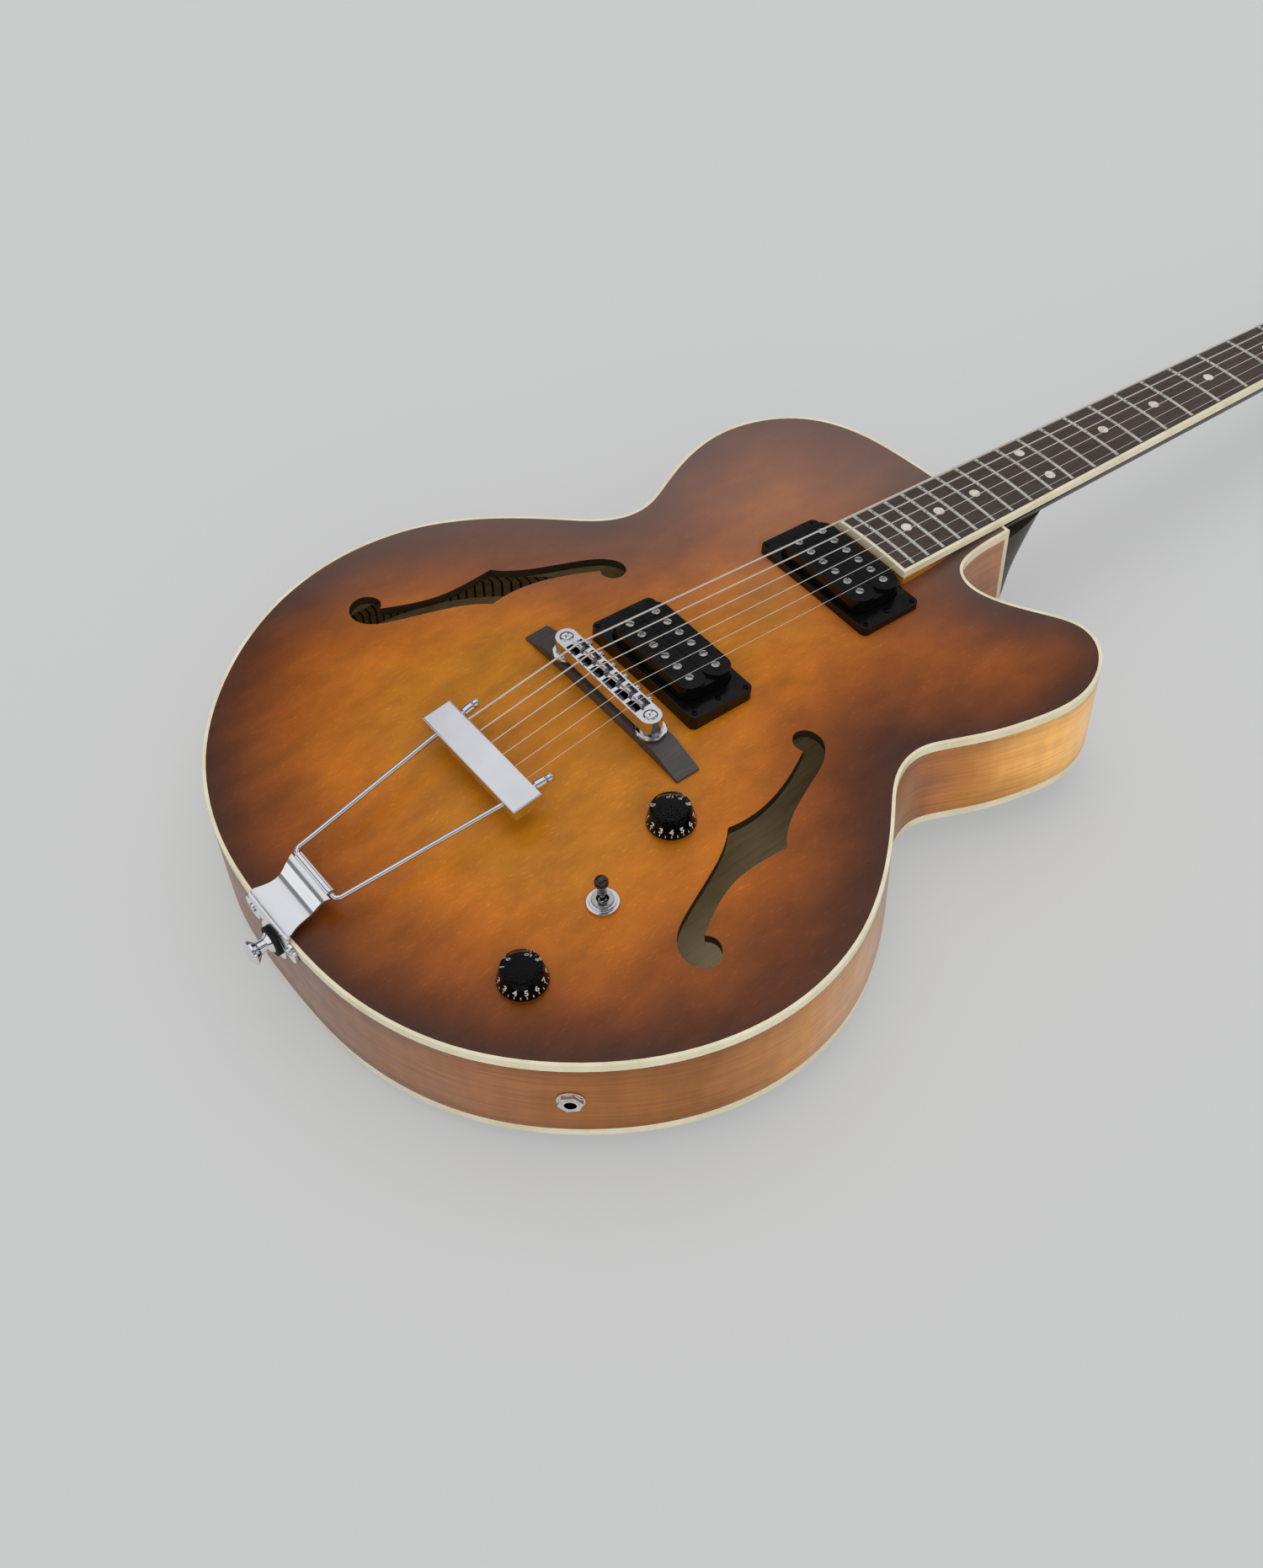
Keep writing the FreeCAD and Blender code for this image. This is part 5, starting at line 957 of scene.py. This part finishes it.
class GUITAR_OT_pickups(bpy.types.Operator):
    """Build the pickups, their rings, pole screws and mounting screws"""
    bl_idname = "guitar.pickups"
    bl_label = "Pickups"

    def execute(self, context):
        dress("pickup_rings", "plastic", "black_plastic", 0.9)
        corner_screws, height_screws = [], []
        for name, base in pickup_frames.items():
            dress(f"{name}_pickup", "bobbin", "black_plastic", 0.35)
            # Each pole's slot points its own way
            poles = [shifted(base, (k - 2.5) * settings().pole_pitch, row * BOBBIN_Y, POLE_LEVEL,
                             turn=POLE_TURN * math.sin(3.7 * k + row)) for row in (-1, 1) for k in range(6)]
            repeat(f"{name}_pole_screws", slotted_head(*POLE_SCREW), poles, "steel", f"{name}_pickup", "steel")
            corner_screws += [shifted(base, x * CORNER_X, y * CORNER_Y, RING_LEVEL) for x in (-1, 1) for y in (-1, 1)]
            height_screws += [shifted(base, x * HEIGHT_X, 0, RING_LEVEL) for x in (-1, 1)]
        repeat("ring_corner_screws", slotted_head(*SMALL_SCREW), corner_screws, "blackened", "body", "steel")
        repeat("pickup_height_screws", slotted_head(*HEIGHT_SCREW), height_screws, "blackened", "body", "steel")
        return {"FINISHED"}


# Bridge
STAND_X, STAND_FOOT, STAND_TURN, WHEEL_FOOT = {"bass": -37, "treble": 37}, 20.5, math.degrees(0.6), 21.7
WHEEL_PROFILE = [(3.56, 0), (8.1, 0), (8.5, 0.35), (8.5, 1.15), (8.1, 1.5), (6.5, 1.6), (6.2, 1.9), (6.2, 3.3),
                 (5.9, 3.6), (3.56, 3.6), (3.56, 0)]
SADDLE_SCREW_Y, SADDLE_SCREW_LEVEL = 6.2, 31.8


class GUITAR_OT_bridge(bpy.types.Operator):
    """Build the bridge with its base, posts, thumbwheels, saddles and saddle screws"""
    bl_idname = "guitar.bridge"
    bl_label = "Bridge"

    def execute(self, context):
        dress("bridge_base", "base", "dark_wood", 0.5)
        posts = merged([(slotted_head(*STAND_SCREW, dome=0.03, sides=32),
                         shifted(body_frame, x, 0, STAND_FOOT, turn=STAND_TURN)) for x in STAND_X.values()])
        settle(to_piece("bridge_posts_piece", posts, ["chrome"]), "body", "chrome", "bridge_posts")
        for side, x in STAND_X.items():
            wheel = merged([(lathe(WHEEL_PROFILE, 64), shifted(body_frame, x, 0, WHEEL_FOOT))])
            settle(to_piece(f"thumbwheel_{side}_piece", wheel, ["chrome"]), f"thumbwheel_{side}", "chrome",
                   f"thumbwheel_{side}")
        chromed("bridge_body", 0.35)
        for number in range(1, 7):
            chromed(f"saddle_{number}", 0.2)
        screws = [shifted(body_frame, string_x(number, settings().string_bridge_spread), SADDLE_SCREW_Y,
                          SADDLE_SCREW_LEVEL, -90) for number in range(1, 7)]
        repeat("saddle_screws", slotted_head(*SADDLE_SCREW), screws, "chrome", "bridge", "chrome")
        return {"FINISHED"}


# Tailpiece: the screws' places on the tail rim, and how far each slot is turned
BRACKET_FACE, BRACKET_SCREW_LEVEL = -217.2, -7
BRACKET_SCREWS = ((-17.8, math.degrees(0.5)), (17.8, math.degrees(1.9)))


class GUITAR_OT_tailpiece(bpy.types.Operator):
    """Build the trapeze tailpiece and the strap button"""
    bl_idname = "guitar.tailpiece"
    bl_label = "Tailpiece"

    def execute(self, context):
        dress("tailpiece_bracket", "satin", "chrome", 0.3)
        screws = [shifted(body_frame, x, BRACKET_FACE, BRACKET_SCREW_LEVEL, 90, turn) for x, turn in BRACKET_SCREWS]
        repeat("bracket_screws", slotted_head(*BRACKET_SCREW), screws, "chrome", "body", "chrome")
        chromed("tailpiece_rods", 0)
        chromed("tailpiece_bar", 0.6)
        chromed("strap_button", 0.3)
        dress("felt_washer", "felt", "black_felt", 0.4)
        return {"FINISHED"}


# Controls: profiles as radius and height in millimetres, and the print on the knobs
KNOB_CLEAR = [(0, 1.6), (13.0, 1.6), (13.2, 1.9), (13.2, 2.6), (12.9, 3.4), (10.9, 11.9), (10.6, 12.6), (9.9, 13.1),
              (9.2, 13.2), (0, 13.2)]
KNOB_CORE = [(0, 1.7), (12.5, 1.7), (12.6, 2.4), (6.6, 8.4), (0, 8.5)]
SWITCH_BARREL = [(0, -1.8), (2.3, -1.8), (2.5, -1.5), (2.5, 1.5), (2.3, 1.8), (0, 1.8)]
SWITCH_STEM = [(0, -3), (1.3, -3), (1.5, -2.7), (1.5, 3), (1.4, 8), (0, 8.2)]
SWITCH_TIP = [(0, 7.6), (2.3, 7.6), (2.6, 8.0), (2.4, 10.6), (2.6, 12.2), (3.3, 13.6), (3.7, 14.9), (3.8, 16.0),
              (3.65, 17.1), (3.2, 18.2), (2.4, 19.1), (1.3, 19.65), (0, 19.8)]
PRINT_FOOT, PRINT_SLOPE, PRINT_LIFT = KNOB_CORE[2], math.radians(45), 0.03
HALF_STEPS, HALF_STEP = 21, 15
TICK = [(-0.22, 0.3), (0.22, 0.3), (0.22, 1.7), (-0.22, 1.7)]
DIGIT_HEIGHT, DIGIT_RISE, CAPITAL_SHARE, DIGIT_WEIGHT = 3.0, 2.3, 0.7, 0.04
DIAL_STARTS = {"volume": -157.0, "tone": -175.0}


def printed(text, height):
    """A flat mesh of a short text, in millimetres about the middle of its foot."""
    curve = bpy.data.curves.new("print", "FONT")
    curve.body = text
    curve.size = height / CAPITAL_SHARE
    curve.align_x = "CENTER"
    curve.resolution_u = 3
    curve.offset = DIGIT_WEIGHT * height
    holder = linked("print", curve)
    mesh = evaluated(holder)
    bpy.data.objects.remove(holder)
    return mesh


def dial_print(turned):
    """The numbers 0 to 10 and their ticks on the slope of a knob's core, in the knob's own frame."""
    whole = bmesh.new()
    for half_step in range(HALF_STEPS):
        angle = math.radians(turned + half_step * HALF_STEP)
        marks = [(TICK, [(0, 1, 2, 3)])]
        if half_step % 2 == 0:
            mesh = printed(str(half_step // 2), DIGIT_HEIGHT)
            marks.append(([(vert.co.x, vert.co.y + DIGIT_RISE) for vert in mesh.vertices],
                          [tuple(face.vertices) for face in mesh.polygons]))
            bpy.data.meshes.remove(mesh)
        for points, faces in marks:
            verts = []
            for side, rise in points:
                radius = PRINT_FOOT[0] - rise * math.cos(PRINT_SLOPE) + PRINT_LIFT
                level = PRINT_FOOT[1] + rise * math.sin(PRINT_SLOPE) + PRINT_LIFT
                around = angle + side / radius
                place = Vector((radius * math.cos(around), radius * math.sin(around), level))
                verts.append(whole.verts.new(place * MM))
            for face in faces:
                whole.faces.new([verts[index] for index in face])
    return whole


class GUITAR_OT_controls(bpy.types.Operator):
    """Build the knobs, the switch, the jack and the parts under the top"""
    bl_idname = "guitar.controls"
    bl_label = "Controls"

    def execute(self, context):
        for knob, turned in DIAL_STARTS.items():
            base = upright(Vector(joints[f"{knob}_turn"]["pos_m"]))
            for name, mesh, finish, slot in (
                    ("core", lathe(KNOB_CORE, 64), "core", "black_plastic"),
                    ("shell", lathe(KNOB_CLEAR, 96), "clear", "black_plastic"),
                    ("print", dial_print(turned), "print", "pearl_dots")):
                piece = to_piece(f"{knob}_knob_{name}", merged([(mesh, base)]), [finish])
                settle(piece, f"{knob}_knob", slot, f"{knob}_knob")
        chromed("control_nuts", 0.25)
        dress("control_bodies", "steel", "steel", 0.3)
        base = upright(Vector(joints["switch_throw"]["pos_m"]))
        lever = merged([(lathe(SWITCH_BARREL), base @ Matrix.Rotation(math.radians(90), 4, "Y")),
                        (lathe(SWITCH_STEM), base)])
        settle(to_piece("switch_lever_piece", lever, ["chrome"]), "switch_lever", "chrome", "switch_lever")
        tip = merged([(lathe(SWITCH_TIP), base)])
        settle(to_piece("switch_tip_piece", tip, ["veneer"], angle=60), "switch_lever", "black_plastic", "switch_lever")
        dress("jack_socket", "chrome", "steel", 0.2)
        return {"FINISHED"}


# Stage
FLOOR_SIZE, FLOOR_GAP, FLOOR_SHARE = 8.0, 0.0004, 0.6
LAMP_AIM = Vector((0.0, -0.2, 0.05))
CAMERA_PLACE = Vector((0.57506, -0.70524, 0.84088))
CAMERA_FORWARD, CAMERA_RIGHT = Vector((-0.52409, 0.39576, -0.75412)), Vector((0.61061, 0.79188, -0.00878))
SENSOR_WIDTH = 36.0


def rays(tree, *kinds):
    """1 for rays of any of these kinds, else 0."""
    path = add(tree, "ShaderNodeLightPath").outputs
    seen = path[kinds[0]]
    for kind in kinds[1:]:
        seen = calc(tree, "MAXIMUM", seen, path[kind])
    return seen


def lay_floor():
    """Pale paper under the guitar."""
    finishes["floor"], tree, shader = new_finish("floor_paper", Roughness=0.9)
    colour = ramp(tree, mottle(tree, 400), [
        (0.3, (*(part * 0.985 for part in settings().floor), 1.0)), (0.7, (*settings().floor, 1.0))])
    # Seen or mirrored, the paper is mostly a pale tone of its own, so the shadows on it stay faint
    lift = calc(tree, "MULTIPLY", rays(tree, "Is Camera Ray", "Is Glossy Ray", "Is Transmission Ray"), FLOOR_SHARE)
    coat(tree, shader, tinted(tree, colour, calc(tree, "SUBTRACT", 1.0, lift)))
    shader.inputs["Emission Color"].default_value = linear("#c9cac9")
    tree.links.new(lift, shader.inputs["Emission Strength"])
    bm = bmesh.new()
    bmesh.ops.create_grid(bm, x_segments=8, y_segments=8, size=FLOOR_SIZE)
    floor = to_piece("floor", bm, ["floor"])
    floor.location.z = cad_low.z - FLOOR_GAP


def light_room(scene):
    """Even light all round, with pale walls and darker bands that only metal and glass show."""
    world = bpy.data.worlds.new("soft_room")
    scene.world = world
    world.use_nodes = True
    tree = world.node_tree
    tree.nodes.clear()
    toward = add(tree, "ShaderNodeTexCoord").outputs["Generated"]
    toward = add(tree, "ShaderNodeSeparateXYZ", {0: toward}).outputs
    room = ramp(tree, toward["Z"], [
        (0.0, "#808184"), (0.1, "#9a9b9e"), (0.2, "#e8e9ec"), (0.41, "#f2f3f6"), (0.44, "#77787c"),
        (0.665, "#77787c"), (0.69, "#d6d7dc"), (1.0, "#eceef2")])
    flags = ramp(tree, mapped(tree, toward["X"], -1.0, 1.0), [
        (0.1, "#77787b"), (0.15, "#ffffff"), (0.62, "#ffffff"), (0.68, "#77787b"), (0.8, "#77787b"),
        (0.86, "#ffffff")])
    room = mixed(tree, 1.0, room, flags, "MULTIPLY")
    colour = mixed(tree, rays(tree, "Is Glossy Ray", "Is Transmission Ray"), (0.52, 0.53, 0.55, 1.0), room)
    sky = add(tree, "ShaderNodeBackground", {"Color": colour})
    add(tree, "ShaderNodeOutputWorld", {"Surface": sky.outputs["Background"]})


class GUITAR_OT_stage(bpy.types.Operator):
    """Build the floor, the light and the camera"""
    bl_idname = "guitar.stage"
    bl_label = "Stage"

    def execute(self, context):
        scene = context.scene
        scene.view_settings.view_transform = "Standard"
        lay_floor()
        light_room(scene)
        for name, kind, place, size, share in (
                ("large_soft_lamp", "AREA", (-0.45, 0.2, 2.3), 2.2, 0.92),
                ("side_window", "SUN", (1.4, -1.0, 0.9), math.radians(50), 0.055)):
            lamp = bpy.data.lights.new(name, kind)
            setattr(lamp, "size" if kind == "AREA" else "angle", size)
            lamp.energy = settings().light * share
            holder = linked(name, lamp)
            holder.location = place
            holder.visible_glossy = False
            holder.rotation_euler = (LAMP_AIM - Vector(place)).to_track_quat("-Z", "Y").to_euler()
        camera = bpy.data.cameras.new("camera")
        camera.lens = settings().lens
        camera.sensor_width = SENSOR_WIDTH
        scene.camera = linked("camera", camera)
        upward = CAMERA_RIGHT.cross(CAMERA_FORWARD)
        scene.camera.matrix_world = axes(CAMERA_RIGHT, upward, -CAMERA_FORWARD, CAMERA_PLACE)
        return {"FINISHED"}


class GUITAR_PT_panel(bpy.types.Panel):
    """Sizes, colours and build steps of the guitar"""
    bl_idname = "GUITAR_PT_panel"
    bl_label = "Guitar"
    bl_space_type = "VIEW_3D"
    bl_region_type = "UI"
    bl_category = "Guitar"

    def draw(self, context):
        for name in GuitarSettings.__annotations__:
            self.layout.prop(context.scene.guitar, name)
        for step in STEPS:
            self.layout.operator(step.bl_idname)


STEPS = (GUITAR_OT_body, GUITAR_OT_neck, GUITAR_OT_tuners, GUITAR_OT_strings, GUITAR_OT_pickups, GUITAR_OT_bridge,
         GUITAR_OT_tailpiece, GUITAR_OT_controls, GUITAR_OT_stage)
CLASSES = (GuitarSettings, *STEPS, GUITAR_PT_panel)


def register():
    for item in CLASSES:
        bpy.utils.register_class(item)
    bpy.types.Scene.guitar = PointerProperty(type=GuitarSettings)


def unregister():
    del bpy.types.Scene.guitar
    for item in reversed(CLASSES):
        bpy.utils.unregister_class(item)


def main():
    register()
    make_finishes()
    bpy.ops.guitar.body()
    bpy.ops.guitar.neck()
    bpy.ops.guitar.tuners()
    bpy.ops.guitar.strings()
    bpy.ops.guitar.pickups()
    bpy.ops.guitar.bridge()
    bpy.ops.guitar.tailpiece()
    bpy.ops.guitar.controls()
    bpy.ops.guitar.stage()


if __name__ == "__main__":
    main()
